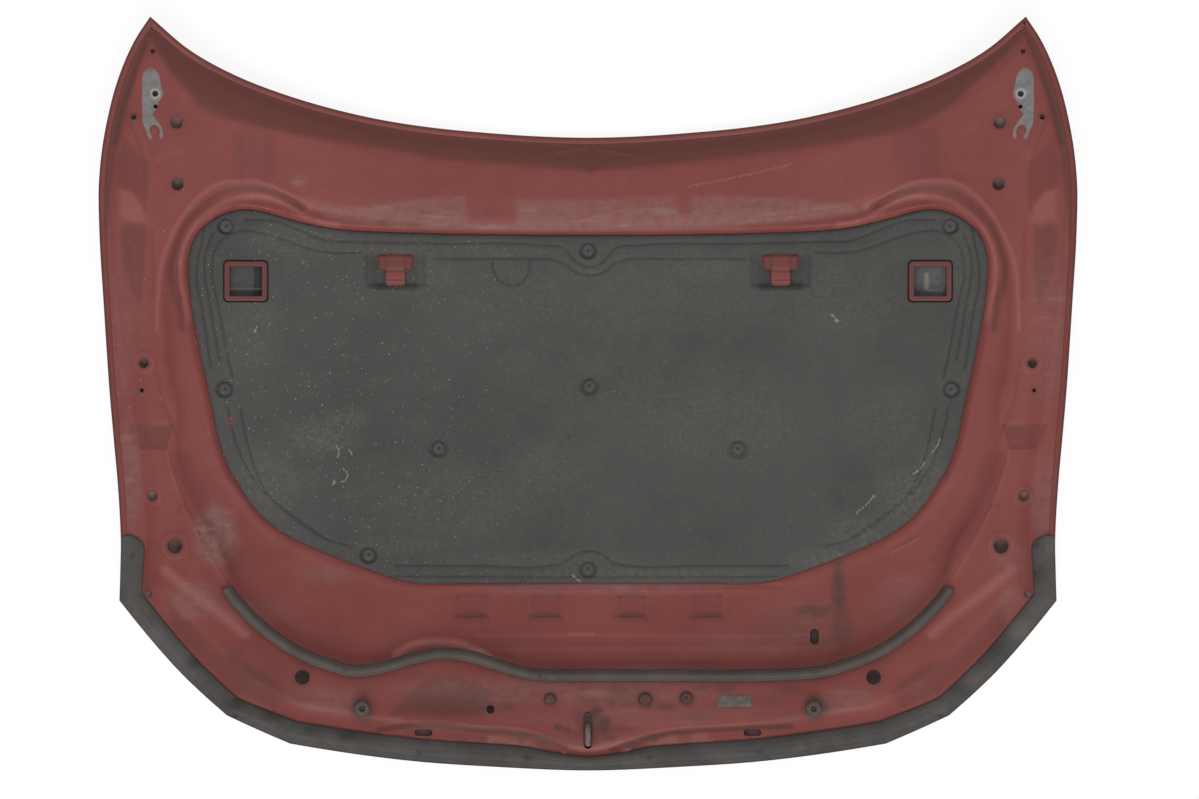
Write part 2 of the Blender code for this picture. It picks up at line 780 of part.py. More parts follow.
def collar(name, side):
    """Raised square collar: outer wall, flat rim and a short lip turned down inside."""
    centre = plan((side * COLLAR_CENTRE[0], COLLAR_CENTRE[1]))
    placement = local_plane(FRAME_TREE, centre.x, centre.y, COLLAR_SIZE[0] / 2, COLLAR_SIZE[1] / 2)
    foot_drop = FRAME_THICKNESS / 2
    levels = ((COLLAR_SIZE, -foot_drop), (COLLAR_SIZE, COLLAR_HEIGHT), (COLLAR_OPENING, COLLAR_HEIGHT),
              (COLLAR_OPENING, COLLAR_HEIGHT - COLLAR_LIP_DROP))
    rings = []
    for size, height in levels:
        shrink = FRAME_THICKNESS / 2 if height < COLLAR_HEIGHT else 0
        corner = COLLAR_CORNER if size is COLLAR_SIZE else COLLAR_CORNER / 2
        ring = rounded_box(size[0] - shrink, size[1] - shrink, corner)
        rings.append([Vector((x, y, height)) for x, y in ring])
    points, faces = loft(rings)
    item = new_object(name, mesh_of(name, points, faces), cutter=True)
    item.matrix_world = placement
    solidify(item, FRAME_THICKNESS)
    walls = FRAME_THICKNESS * 2
    window = rounded_box(COLLAR_SIZE[0] - walls, COLLAR_SIZE[1] - walls, COLLAR_CORNER)
    opening = flat_plate(name + "_window", [window], TRAY_RISE, placement, cutter=True)
    return opening, item


def hook_placement(side):
    centre = plan((side * HOOK_X, HOOK_Y))
    return local_plane(FRAME_TREE, centre.x, centre.y, HOOK_BAR_WIDTH / 2, HOOK_BAR_DEPTH)


def hook(name, side):
    """T-shaped tab of the pressing: a bar with two ears, and a tongue with its tip turned down."""
    bar = HOOK_BAR_DEPTH / 2
    tip = bar + HOOK_TONGUE_LENGTH
    foot = -FRAME_THICKNESS / 2
    crease = HOOK_HEIGHT - HOOK_CREASE_DROP
    rows = (
        (bar, foot), (bar - HOOK_FOOT_SLOPE, HOOK_HEIGHT * 0.75), (bar - HOOK_SHOULDER, HOOK_HEIGHT),
        (-bar + HOOK_FOOT_SLOPE, HOOK_HEIGHT), (-bar - HOOK_FOOT_SLOPE, crease), (-tip + HOOK_TIP, crease),
        (-tip, HOOK_HEIGHT - HOOK_TIP_DROP),
    )
    half_tongue = HOOK_TONGUE_WIDTH / 2
    half_bar = HOOK_BAR_WIDTH / 2
    points = []
    for y, z in rows:
        points += [(-half_tongue, y, z), (half_tongue, y, z)]
    faces = [(2 * row, 2 * row + 1, 2 * row + 3, 2 * row + 2) for row in range(len(rows) - 1)]
    for row in range(3):
        for sign in (-1, 1):
            near = 2 * row + (1 if sign > 0 else 0)
            start = len(points)
            for y, z in rows[row:row + 2]:
                points.append((sign * half_bar, y, max(z - HOOK_EAR_DROP, foot)))
            faces.append((near, near + 2, start + 1, start))
    item = new_object(name, mesh_of(name, *welded(points, faces)), cutter=True)
    item.matrix_world = hook_placement(side)
    solidify(item, HOOK_SHEET)
    return item


def welded(points, faces):
    """The same faces with points at one place made one."""
    places = []
    index_of = {}
    numbers = []
    for point in points:
        key = tuple(round(value, 7) for value in point)
        if key not in index_of:
            index_of[key] = len(places)
            places.append(point)
        numbers.append(index_of[key])
    return places, [tuple(numbers[corner] for corner in face) for face in faces]


def hinge_placement(side):
    centre = plan((side * HINGE_SEAT[0], HINGE_SEAT[1]))
    return local_plane(FRAME_TREE, centre.x, centre.y, HINGE_PLATE[0] / 2, HINGE_PLATE[1] / 2)


def hinge_outline(side):
    """Outline of the hinge's footprint: straight outer side, waisted inner side, forked lower end."""
    points = [(0.0095, 0.040), (-0.004, 0.044), (-0.009, 0.038), (-0.0125, 0.020), (-0.012, 0.008),
              (-0.006, 0.002), (-0.004, -0.006), (-0.011, -0.018), (-0.0125, -0.027), (-0.009, -0.031),
              (-0.0035, -0.026), (0.0025, -0.026), (0.0065, -0.033), (0.0115, -0.022), (0.017, -0.012),
              (0.017, 0.030)]
    return [(side * x, y) for x, y in points]


def hinge_seat(side, finish):
    """Raised flat land of the frame that the hinge is bolted to."""
    name = "seat_right" if side > 0 else "seat_left"
    placement = hinge_placement(side)
    high, low = highest_over(FRAME_TREE, placement, HINGE_SEAT_SIZE)
    top = high + FRAME_THICKNESS / 2 + HINGE_SEAT_LIFT
    bottom = low - FRAME_THICKNESS / 2
    middle = placement @ Matrix.Translation((0, 0, (top + bottom) / 2))
    return flat_plate(name, [hinge_outline(side)], top - bottom, middle, finish, cutter=True), bottom


def hinge_parts(side, seat_bottom, steel):
    """Reinforcement plate and weld nuts inside the box, behind the seat."""
    word = "right" if side > 0 else "left"
    placement = hinge_placement(side)
    _, low = highest_over(FRAME_TREE, placement, HINGE_PLATE)
    top = min(low - FRAME_THICKNESS / 2, seat_bottom) - SEAT_GAP
    holes = [[(x, y + place) for x, y in circle(radius)] for place, radius in
             ((HINGE_BOLT_AT, HINGE_BOLT_RADIUS), (HINGE_GAUGE_AT, HINGE_GAUGE_RADIUS))]
    plate_outline = rounded_box(*HINGE_PLATE, HINGE_PLATE_CORNER)
    middle = placement @ Matrix.Translation((0, 0, top - PLATE_THICKNESS / 2))
    flat_plate("hinge_plate_" + word, [plate_outline] + holes, PLATE_THICKNESS, middle, steel)
    nut_top = top - PLATE_THICKNESS - SEAT_GAP
    nut_place = placement @ Matrix.Translation((0, HINGE_BOLT_AT, nut_top - NUT_HEIGHT / 2))
    hexagon = circle(NUT_WIDTH / math.sqrt(3), 6)
    flat_plate("hinge_nut_" + word, [hexagon, circle(NUT_BORE_RADIUS)], NUT_HEIGHT, nut_place, steel)


def hole_sides(radius):
    return HOLE_SIDES if radius > SMALL_HOLE_RADIUS else SMALL_HOLE_SIDES


def hole_places():
    """Place and radius of each round hole through the frame, and the radius of what seats on it."""
    holes = []
    for _, x, y, radius in MIRRORED_HOLES:
        holes += [((side * x, y), radius, radius) for side in (-1, 1)]
    holes += [((x, y), radius, radius) for _, x, y, radius in SINGLE_HOLES]
    holes += [((side * BUFFER_AT[0], BUFFER_AT[1]), BUFFER_NECK_RADIUS + NECK_CLEARANCE, BUFFER_RADIUS)
              for side in (-1, 1)]
    holes += [((x, y), radius - PLUG_RIM + NECK_CLEARANCE, radius) for _, x, y, radius in PLUGS]
    holes += [((x, y), CLIP_STEM_RADIUS + CLIP_HOLE_CLEARANCE, CLIP_HEAD_RADIUS) for _, x, y in PAD_CLIPS]
    spots = [(plan(place), radius, reach) for place, radius, reach in holes]
    return [(spot.x, spot.y, radius, reach) for spot, radius, reach in spots]


def hole_cutter():
    """All round holes as one set of pins, each square to the sheet at its place."""
    shape = bmesh.new()
    half = HOLE_PIN_LENGTH / 2
    for x, y, radius, reach in hole_places():
        placement = local_plane(FRAME_TREE, x, y, reach, reach)
        add_cylinder(shape, radius, (-half, half), placement, hole_sides(radius))
    for side in (-1, 1):
        placement = hinge_placement(side)
        for place, radius in ((HINGE_BOLT_AT, HINGE_BOLT_RADIUS), (HINGE_GAUGE_AT, HINGE_GAUGE_RADIUS)):
            shifted = placement @ Matrix.Translation((0, place, 0))
            add_cylinder(shape, radius, (-half, half), shifted, HOLE_SIDES)
    mesh = bpy.data.meshes.new("hole_pins")
    shape.to_mesh(mesh)
    shape.free()
    return new_object("hole_pins", mesh, cutter=True)


def slot_cutter(name, x, y, width, length):
    spot = plan((x, y))
    placement = local_plane(FRAME_TREE, spot.x, spot.y, width / 2, length / 2)
    return flat_plate(name, [slot(width, length)], SLOT_CUT_DEPTH, placement, cutter=True)


def striker_slot_cutter():
    middle_y = plan(STRIKER_AT).y + STRIKER_SLOT_BACK
    middle = Matrix.Translation((0, middle_y, sheet_z(FRAME_TREE, 0, middle_y)))
    return flat_plate("striker_slot", [slot(*STRIKER_SLOT)], STRIKER_CUT_DEPTH, middle, cutter=True)


def inner_frame(paint, primer):
    mesh = mesh_of("inner_frame", FRAME_POINTS, FRAME_FACES)
    item = new_object("inner_frame", mesh, paint)
    mesh.materials.append(primer)
    solidify(item, FRAME_THICKNESS)
    for side, word in ((-1, "left"), (1, "right")):
        window, rim = collar("collar_" + word, side)
        boolean(item, window, "DIFFERENCE")
        boolean(item, rim, "UNION")
        boolean(item, hook("hook_" + word, side), "UNION")
    bottoms = {}
    for side in (-1, 1):
        seat, bottoms[side] = hinge_seat(side, primer)
        boolean(item, seat, "UNION")
        item.modifiers[-1].material_mode = "TRANSFER"
    boolean(item, hole_cutter(), "DIFFERENCE")
    for side, word in ((-1, "left"), (1, "right")):
        x, y, width, length = FRONT_SLOT
        boolean(item, slot_cutter("front_slot_" + word, side * x, y, width, length), "DIFFERENCE")
    boolean(item, slot_cutter("prop_slot", *PROP_SLOT), "DIFFERENCE")
    boolean(item, striker_slot_cutter(), "DIFFERENCE")
    return bottoms


def pad_surface():
    """Rings of the pad: its underside from the middle out, then its top side back in."""
    clear = FRAME_THICKNESS / 2 + SEAT_GAP + FACET_CLEARANCE
    under = [
        lifted(RINGS["tray_middle"], TRAY_RISE + clear),
        lifted(RINGS["tray_edge"], TRAY_RISE + clear + PAD_EDGE_LIFT),
        lifted(inset(PAD_RING, PAD_EDGE_IN), PAD_SKIRT_RISE),
    ]
    over = [
        lifted(inset(PAD_RING, PAD_EDGE_IN), PAD_EDGE_RISE),
        lifted(inset(PAD_RING, PAD_BORDER_IN), PAD_BORDER_RISE),
        lifted(inset(PAD_RING, PAD_GROOVE_IN), PAD_GROOVE_RISE),
        lifted(inset(PAD_RING, PAD_BEVEL_IN), PAD_BORDER_RISE),
        lifted(inset(PAD_RING, PAD_FIELD_IN), PAD_TOP_RISE),
        lifted(RINGS["tray_middle"], PAD_TOP_RISE),
    ]
    return under, over


def insulation_pad(finish):
    under, over = pad_surface()
    points, faces = loft(under + over, (0, 0, skin_z(0, 0) + PAD_TOP_RISE))
    points.append((0, 0, under[0][0].z - skin_z(under[0][0].x, under[0][0].y) + skin_z(0, 0)))
    faces += [((station + 1) % STATIONS, station, len(points) - 1) for station in range(STATIONS)]
    item = new_object("insulation_pad", mesh_of("insulation_pad", points, faces), finish)
    for side, word in ((-1, "left"), (1, "right")):
        boolean(item, pad_collar_cutter(word, side), "DIFFERENCE")
        for cutter in pad_hook_cutters(word, side):
            boolean(item, cutter, "DIFFERENCE")
    boolean(item, pad_clip_cutter(), "DIFFERENCE")


def pad_collar_cutter(word, side):
    centre = plan((side * COLLAR_CENTRE[0], COLLAR_CENTRE[1]))
    placement = local_plane(FRAME_TREE, centre.x, centre.y, COLLAR_SIZE[0] / 2, COLLAR_SIZE[1] / 2)
    margin = 2 * COLLAR_PAD_CLEARANCE + FRAME_THICKNESS
    outline = rounded_box(COLLAR_SIZE[0] + margin, COLLAR_SIZE[1] + margin, COLLAR_CORNER)
    return flat_plate("pad_window_" + word, [outline], PAD_CUT_DEPTH, placement, cutter=True)


def pad_hook_cutters(word, side):
    """A recess that the hook lies in, and a slit that its foot stands in."""
    placement = hook_placement(side)
    recess = rounded_box(*HOOK_RECESS_SIZE, HOOK_RECESS_CORNER)
    shift = Matrix.Translation((0, -HOOK_TONGUE_LENGTH / 2, HOOK_RECESS_FLOOR + PAD_CUT_DEPTH / 2))
    pocket = flat_plate("hook_recess_" + word, [recess], PAD_CUT_DEPTH, placement @ shift, cutter=True)
    width = HOOK_BAR_WIDTH + 2 * HOOK_CLEARANCE
    depth = HOOK_BAR_DEPTH + 2 * HOOK_CLEARANCE
    outline = rounded_box(width, depth, HOOK_SLIT_CORNER)
    slit = flat_plate("hook_slit_" + word, [outline], PAD_CUT_DEPTH, placement, cutter=True)
    return pocket, slit


def clip_seat(x, y):
    """Placement on the tray below a pad clip."""
    spot = plan((x, y))
    return local_plane(FRAME_TREE, spot.x, spot.y, CLIP_HEAD_RADIUS, CLIP_HEAD_RADIUS)


def pad_clip_cutter():
    """Dimples for the clip heads, with the holes for their stems."""
    shape = bmesh.new()
    for _, x, y in PAD_CLIPS:
        placement = clip_seat(x, y)
        radius = CLIP_HEAD_RADIUS + CLIP_DIMPLE_CLEARANCE
        floor = FRAME_THICKNESS / 2 + SEAT_GAP + CLIP_BOX_HEIGHT
        add_cylinder(shape, radius, (floor, floor + CLIP_DIMPLE_DEPTH), placement, HOLE_SIDES)
    mesh = bpy.data.meshes.new("clip_dimples")
    shape.to_mesh(mesh)
    shape.free()
    dimples = new_object("clip_dimples", mesh, cutter=True)
    stems = bmesh.new()
    for _, x, y in PAD_CLIPS:
        radius = CLIP_STEM_RADIUS + CLIP_HOLE_CLEARANCE
        heights = (-CLIP_CUT_BELOW, CLIP_BOX_HEIGHT + CLIP_CUT_ABOVE)
        add_cylinder(stems, radius, heights, clip_seat(x, y), SMALL_HOLE_SIDES)
    stem_mesh = bpy.data.meshes.new("clip_stems")
    stems.to_mesh(stem_mesh)
    stems.free()
    pins = new_object("clip_stem_pins", stem_mesh, cutter=True)
    boolean(dimples, pins, "UNION")
    return dimples


def add_cylinder(shape, radius, heights, placement, sides):
    """Adds a closed cylinder between two heights over a placement."""
    low, high = heights
    bmesh.ops.create_cone(shape, cap_ends=True, segments=sides, radius1=radius, radius2=radius,
                          depth=high - low, matrix=placement @ Matrix.Translation((0, 0, (low + high) / 2)))


def pad_clips(finish):
    """Push clips: a low domed head on a stem with a barb below the tray."""
    floor = FRAME_THICKNESS / 2 + SEAT_GAP + CLIP_BOX_HEIGHT + SEAT_GAP
    head = CLIP_HEAD_RADIUS
    stem = CLIP_STEM_RADIUS
    profile = (
        (0, floor + CLIP_HEAD_HEIGHT), (head * 0.7, floor + CLIP_HEAD_HEIGHT * 0.8), (head, floor + CLIP_RIM),
        (head, floor), (stem, floor), (stem, -CLIP_STEM_BELOW * 0.6), (0, -CLIP_STEM_BELOW),
    )
    mesh = turned("pad_clip", profile)
    mesh.materials.append(finish)
    for name, x, y in PAD_CLIPS:
        item = new_object("pad_clip_" + name, mesh)
        spin(item, CLIP_STEPS)
        item.matrix_world = clip_seat(x, y)


def front_stations(first):
    """Numbers of the stations from one side round the nose to the other side."""
    return list(range(first, STATIONS - first + 1))


def spoke_station(spoke):
    return sum(SECTOR_STEPS[:spoke])


def front_seal(finish):
    """Flat strip from hem to wall foot, with an outer lip over the hem and a low crown."""
    clear = FRAME_THICKNESS / 2 + SEAT_GAP
    lip_bottom = 2 * FOLD_RISE + SKIN_THICKNESS / 2 + SEAT_GAP + FACET_CLEARANCE
    flange_top = FOLD_RISE + clear
    foot = wall_foot_distances()
    outer = [FRONT_SEAL_OUTER] * STATIONS
    step = [HEM_LIP + SEAT_GAP * 2] * STATIONS
    inner = [value - FRONT_SEAL_INNER_GAP for value in foot]
    crown_outer, crown_inner = ([value * share for value in foot] for share in FRONT_SEAL_CROWN)
    lines = (
        (outer, lip_bottom), (step, lip_bottom), (step, flange_top), (inner, flange_top),
        (inner, flange_top + FRONT_SEAL_EDGE), (crown_inner, FRONT_SEAL_HEIGHT),
        (crown_outer, FRONT_SEAL_HEIGHT), (outer, lip_bottom + FRONT_SEAL_EDGE),
    )
    rings = [lifted(inset(OUTLINE_RING, distances), rise) for distances, rise in lines]
    first = spoke_station(SEAL_END_SPOKE)
    sections = [[ring[station] for ring in rings] for station in front_stations(first)]
    new_object("front_seal", loft_solid("front_seal", sections), finish)


def engine_bay_seal(finish):
    """D-shaped strip with two ridges on the land, square-cut at its ends."""
    clear = FRAME_THICKNESS / 2 + SEAT_GAP + FACET_CLEARANCE
    half = BAY_SEAL_WIDTH / 2
    high = BAY_SEAL_HEIGHT
    wall = BAY_SEAL_WALL
    shoulder = half * BAY_SEAL_SHOULDER[0]
    shoulder_high = high * BAY_SEAL_SHOULDER[1]
    crown = half * BAY_SEAL_TOP
    section = ((-half, 0), (half, 0), (half, wall), (shoulder, shoulder_high), (crown, high),
               (-crown, high), (-shoulder, shoulder_high), (-half, wall))
    land = along(LAND_RISE)
    rings = [lifted(inset(RIDGE_RING, across), [rise + clear + up for rise in land])
             for across, up in section]
    first = spoke_station(CORNER_SPOKE) + BAY_SEAL_START_STEPS
    sections = [[ring[station] for ring in rings] for station in front_stations(first)]
    new_object("engine_bay_seal", loft_solid("engine_bay_seal", sections), finish)


def striker_plate_placement():
    middle_y = plan(STRIKER_AT).y + STRIKER_PLATE_BACK
    placement = local_plane(FRAME_TREE, 0, middle_y, STRIKER_PLATE[0] / 2, STRIKER_PLATE[1] / 2)
    _, low = highest_over(FRAME_TREE, placement, STRIKER_PLATE)
    return placement @ Matrix.Translation((0, 0, low - FRAME_THICKNESS / 2 - SEAT_GAP * 2))


def striker_plate(steel):
    top = striker_plate_placement()
    middle = top @ Matrix.Translation((0, 0, -PLATE_THICKNESS / 2))
    outline = rounded_box(*STRIKER_PLATE, STRIKER_PLATE_CORNER)
    flat_plate("striker_plate", [outline], PLATE_THICKNESS, middle, steel)
    return top


def striker_loop(steel, plate_top):
    """Bent wire whose two legs stand on the plate and pass up through the slot."""
    radius = STRIKER_WIRE / 2
    middle_y = plan(STRIKER_AT).y
    front_y = middle_y - STRIKER_SPAN / 2
    rear_y = middle_y + STRIKER_SPAN / 2
    high = sheet_z(FRAME_TREE, 0, middle_y) + STRIKER_REACH
    normal = plate_top.to_3x3() @ Vector((0, 0, 1))
    origin = plate_top.translation
    lean = radius * math.hypot(normal.x, normal.y) / normal.z

    def leg_foot(y):
        height = origin.z - (y - origin.y) * normal.y / normal.z
        return height + lean + SEAT_GAP

    points = [(0, rear_y, leg_foot(rear_y))]
    for centre_y, first in ((rear_y - STRIKER_BEND, 0.0), (front_y + STRIKER_BEND, 0.5)):
        for step in range(4):
            angle = math.pi * (first + 0.5 * step / 3)
            points.append((0, centre_y + STRIKER_BEND * math.cos(angle),
                           high - radius - STRIKER_BEND + STRIKER_BEND * math.sin(angle)))
    points.append((0, front_y, leg_foot(front_y)))
    curve = bpy.data.curves.new("striker_loop", "CURVE")
    curve.dimensions = "3D"
    curve.bevel_depth = radius
    curve.bevel_resolution = 2
    curve.use_fill_caps = True
    spline = curve.splines.new("POLY")
    spline.points.add(len(points) - 1)
    for point, place in zip(spline.points, points):
        point.co = (*place, 1)
    new_object("striker_loop", curve, steel)


def bump_stop(word, side, finish):
    """Rubber buffer: a crowned body, a neck through the frame and a barb below it."""
    spot = plan((side * BUFFER_AT[0], BUFFER_AT[1]))
    placement = local_plane(FRAME_TREE, spot.x, spot.y, BUFFER_RADIUS, BUFFER_RADIUS)
    seat = seat_over(placement, BUFFER_RADIUS)
    body = BUFFER_RADIUS
    top = seat + BUFFER_HEIGHT
    dimple, deep = BUFFER_DIMPLE
    profile = (
        (0, top - deep), (dimple, top - deep), (dimple + deep / 3, top), (body * 0.72, top),
        (body * 0.86, seat + BUFFER_HEIGHT * 0.75), (body, seat + deep), (body, seat),
        (BUFFER_NECK_RADIUS, seat), (BUFFER_NECK_RADIUS, -BUFFER_FOOT * 0.5),
        (BUFFER_NECK_RADIUS * 0.6, -BUFFER_FOOT), (0, -BUFFER_FOOT),
    )
    turned_object("bump_stop_" + word, profile, finish, placement)


def hole_plug(word, x, y, radius, finish):
    """Button plug: a low dome whose neck fills the hole."""
    spot = plan((x, y))
    placement = local_plane(FRAME_TREE, spot.x, spot.y, radius, radius)
    seat = seat_over(placement, radius)
    neck = radius - PLUG_RIM
    profile = (
        (0, seat + PLUG_DOME), (radius * 0.6, seat + PLUG_DOME * 0.85), (radius, seat + PLUG_EDGE),
        (radius, seat), (neck, seat), (neck, -PLUG_FOOT * 0.6), (neck * 0.75, -PLUG_FOOT), (0, -PLUG_FOOT),
    )
    turned_object("hole_plug_" + word, profile, finish, placement)


def worn_foil(finish):
    """Thin patch that follows the plateau."""
    centre = plan(FOIL_CENTRE)
    low = FRAME_THICKNESS / 2 + SEAT_GAP + FACET_CLEARANCE
    sections = []
    for column in range(FOIL_COLUMNS + 1):
        x = centre.x + FOIL_SIZE[0] * (column / FOIL_COLUMNS - 0.5)
        near = centre.y - FOIL_SIZE[1] / 2
        far = centre.y + FOIL_SIZE[1] / 2
        corners = ((near, 0), (centre.y, 0), (far, 0), (far, FOIL_THICKNESS), (centre.y, FOIL_THICKNESS),
                   (near, FOIL_THICKNESS))
        sections.append([Vector((x, y, sheet_z(FRAME_TREE, x, y) + low + up)) for y, up in corners])
    new_object("worn_foil", loft_solid("worn_foil", sections), finish)


def mastic_dots(finish, skin_tree):
    """Soft adhesive dots that fill the gap between the skin and the tray."""
    for number, (x, y) in enumerate(MASTIC_DOTS, 1):
        centre = plan((x, y))
        spots = [centre + Vector(point) for point in circle(MASTIC_RADIUS)]
        above = SKIN_THICKNESS / 2 + MASTIC_GAP
        below = FRAME_THICKNESS / 2 + MASTIC_GAP
        low = [Vector((spot.x, spot.y, sheet_z(skin_tree, spot.x, spot.y) + above)) for spot in spots]
        high = [Vector((spot.x, spot.y, sheet_z(FRAME_TREE, spot.x, spot.y) - below)) for spot in spots]
        new_object(f"mastic_{number}", loft_solid(f"mastic_{number}", [low, high]), finish)


def shade_round_pieces():
    for item in PARTS.objects:
        if item.type == "MESH" and item.data.polygons:
            item.data.shade_smooth()
            item.data.set_sharp_from_angle(angle=math.radians(SHARP_ANGLE))


def build():
    paint, primer, steel = red_paint(), grey_primer(), bare_steel()
    rubber, plastic = seal_rubber(), clip_plastic()
    skin_tree = outer_skin(paint)
    seat_bottoms = inner_frame(paint, primer)
    insulation_pad(felt())
    pad_clips(plastic)
    front_seal(rubber)
    engine_bay_seal(rubber)
    plate_top = striker_plate(steel)
    striker_loop(steel, plate_top)
    buffers = buffer_rubber()
    for side, word in ((-1, "left"), (1, "right")):
        hinge_parts(side, seat_bottoms[side], steel)
        bump_stop(word, side, buffers)
    for name, x, y, radius in PLUGS:
        hole_plug(name, x, y, radius, plastic)
    worn_foil(foil())
    mastic_dots(mastic(), skin_tree)
    shade_round_pieces()


build()
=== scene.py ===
"""Looks of a used car bonnet that lies on its outer skin, seen from straight above.

Metres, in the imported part's frame: +X across the bonnet, +Y towards the windscreen edge, +Z up.
Sheets are triangulated in plan and lifted onto a height that follows the pressing's sections.
"""
import math

import bmesh
import bpy
import numpy as np
from mathutils import Matrix, Vector
from mathutils.bvhtree import BVHTree
from mathutils.geometry import delaunay_2d_cdt


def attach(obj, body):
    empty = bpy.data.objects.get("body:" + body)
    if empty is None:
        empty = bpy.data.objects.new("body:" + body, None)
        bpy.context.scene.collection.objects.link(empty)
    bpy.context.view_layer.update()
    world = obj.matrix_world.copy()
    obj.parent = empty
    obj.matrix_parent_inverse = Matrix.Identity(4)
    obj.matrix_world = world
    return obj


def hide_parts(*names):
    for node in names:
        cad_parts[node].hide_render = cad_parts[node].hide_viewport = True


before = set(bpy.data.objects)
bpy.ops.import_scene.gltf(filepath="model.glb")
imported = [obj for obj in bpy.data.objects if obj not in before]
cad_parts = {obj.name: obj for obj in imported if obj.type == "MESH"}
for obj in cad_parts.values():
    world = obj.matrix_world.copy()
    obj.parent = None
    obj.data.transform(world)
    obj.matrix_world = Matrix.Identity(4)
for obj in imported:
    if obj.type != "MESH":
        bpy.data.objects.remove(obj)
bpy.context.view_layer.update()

MM = 0.001

# Photograph: metres for one pixel, and the pixel above the part's origin
PHOTO_SCALE = 0.0015
PHOTO_MIDDLE = (588.5, 393.5)
PHOTO_SIZE = (1199, 799)
CAMERA_HEIGHT = 9.0
SENSOR = 36.0

# Dome of the outer skin
BONNET_WIDTH = 1.467
BONNET_LENGTH = 1.128
SIDE_RISE = 0.060
SIDE_CURVE = 2.6
NOSE_RISE = 0.095
NOSE_CURVE = 2.6
REAR_RISE = 0.025
REAR_CURVE = 2.0
LOWEST_Y = -0.044

# Sheets and the folded hem
SKIN_THICKNESS = 0.0008
FRAME_THICKNESS = 0.0007
HEM_GAP = 0.0004
HEM_LIP = 0.0095
FRAME_EDGE_INSET = 0.0016
FOLD_RISE = (SKIN_THICKNESS + FRAME_THICKNESS) / 2 + HEM_GAP

# Outlines in millimetres: the right half, from the rear centre round to the front centre.
# Each row ends on a spoke: tip, shoulder, seal end, corner, chamfer, nose corner, front centre.
OUTLINE = (
    ((0, 385), (150, 392), (300, 409.5), (400, 432), (500, 465), (580, 502.5), (656, 564)),
    ((678, 530), (704, 470), (720, 410), (730, 350), (733.5, 290)),
    ((732, 230), (726.8, 140), (717, -10), (704, -160), (701, -215)),
    ((701, -250), (702, -311)),
    ((654, -370), (598.5, -430), (540, -482)),
    ((492, -504), (445, -524)),
    ((373, -536), (253, -551), (133, -559), (0, -564)),
)
OUTLINE_CORNERS = (1, 4, 5, 6)
RIDGE = (
    ((0, 275), (130, 276), (266, 281), (400, 296), (455, 308), (500, 315)),
    ((545, 314), (590, 290), (618, 245), (640, 185)),
    ((645, 118), (643, 61), (636, 10), (622, -47), (630, -82), (622, -125), (600, -172)),
    ((585, -200), (566, -230)),
    ((541, -293), (509, -331), (470, -365)),
    ((430, -390), (395, -404)),
    ((364, -414), (320, -420), (260, -422.5), (120, -423), (0, -423)),
)
PAD = (
    ((0, 237), (133, 237.5), (266, 240), (380, 246), (425, 254), (470, 266)),
    ((515, 275), (552, 266), (588, 236), (599.5, 193)),
    ((597, 150), (591, 107), (568, -4), (550, -85), (540, -112)),
    ((525, -136), (512, -158)),
    ((486, -188), (456, -211), (425, -227)),
    ((380, -246), (330, -265)),
    ((267, -284), (180, -285.5), (0, -285.5)),
)
SECTOR_STEPS = (9, 7, 7, 2, 5, 3, 9)
SEAL_END_SPOKE = 3
CORNER_SPOKE = 4
FINER = 8

# Sections of the frame in millimetres, at the eight spokes from rear centre to front centre
WALL_FOOT_INSET = (13, 13, 13, 37, 34, 31, 35, 35)
WALL_TOP_INSET = (34, 30, 40, 60, 66, 66, 60, 56)
LAND_HALF_WIDTH = (20, 9, 9, 9, 10, 10, 10, 10)
WALL_TOP_RISE = (14, 12, 15, 20, 26, 30, 31, 31)
BOX_OUTER_RISE = (20, 17, 20, 22, 28, 32, 33, 34)
BOX_MIDDLE_RISE = (22, 18, 22, 23, 29, 33, 34, 34)
LAND_RISE = (24, 21, 24, 24, 30, 33, 34, 34)
VALLEY_OUTER_RISE = (22, 15, 15, 16, 17, 17, 17, 17)
VALLEY_INNER_RISE = (20, 15, 15, 14, 13, 13, 13, 13)
BEAD_RISE = (20.5, 21, 21, 20, 17, 15.5, 15, 15)
PAD_SEAT_RISE = (13, 13, 13, 13, 13, 13, 13, 13)
TRAY_RISE = 9
BOX_OUTER_AT = 0.30
BOX_MIDDLE_AT = 0.65
VALLEY_OUTER_AT = (0.20, 0.25, 0.30, 0.20, 0.20, 0.15, 0.12, 0.12)
VALLEY_INNER_AT = (0.50, 0.55, 0.50, 0.70, 0.80, 0.84, 0.86, 0.86)
BEAD_AT = (0.70, 0.80, 0.74, 0.88, 0.92, 0.94, 0.95, 0.95)
PAD_SEAT_OUT = 0.0025
TRAY_EDGE_IN = 0.0080
TRAY_MIDDLE_AT = 0.55
LATCH_BOW_HALF = 0.125
LATCH_FOOT_BOW = 0.012
LATCH_TOP_BOW = 0.025
ARCH_X = -0.212
ARCH_HALF = 0.150
ARCH_DEPTH = 0.033

# Rows of points between the section's knots, and the radius that rounds each knot's crease
ROW_STEPS = (4, 9, 7, 6, 8, 5, 7, 9, 8, 6, 3, 2)
CREASE_RADIUS = (0.001, 0.002, 0.006, 0.012, 0.016, 0.004, 0.004, 0.008, 0.008, 0.004, 0.0015, 0.003, 0.01)
SECTION_SAMPLES = 500


def spot(u, v):
    """Place on the bonnet, in metres, below a pixel of the photograph."""
    return np.array(((u - PHOTO_MIDDLE[0]) * PHOTO_SCALE, (PHOTO_MIDDLE[1] - v) * PHOTO_SCALE))


def spots(pixels):
    return np.array([spot(u, v) for u, v in pixels])


def linear(channel):
    """One displayed colour channel, 0 to 255, as the linear value that a shader takes."""
    value = channel / 255
    return value / 12.92 if value <= 0.04045 else ((value + 0.055) / 1.055) ** 2.4


def colour(red, green, blue):
    return (linear(red), linear(green), linear(blue), 1)


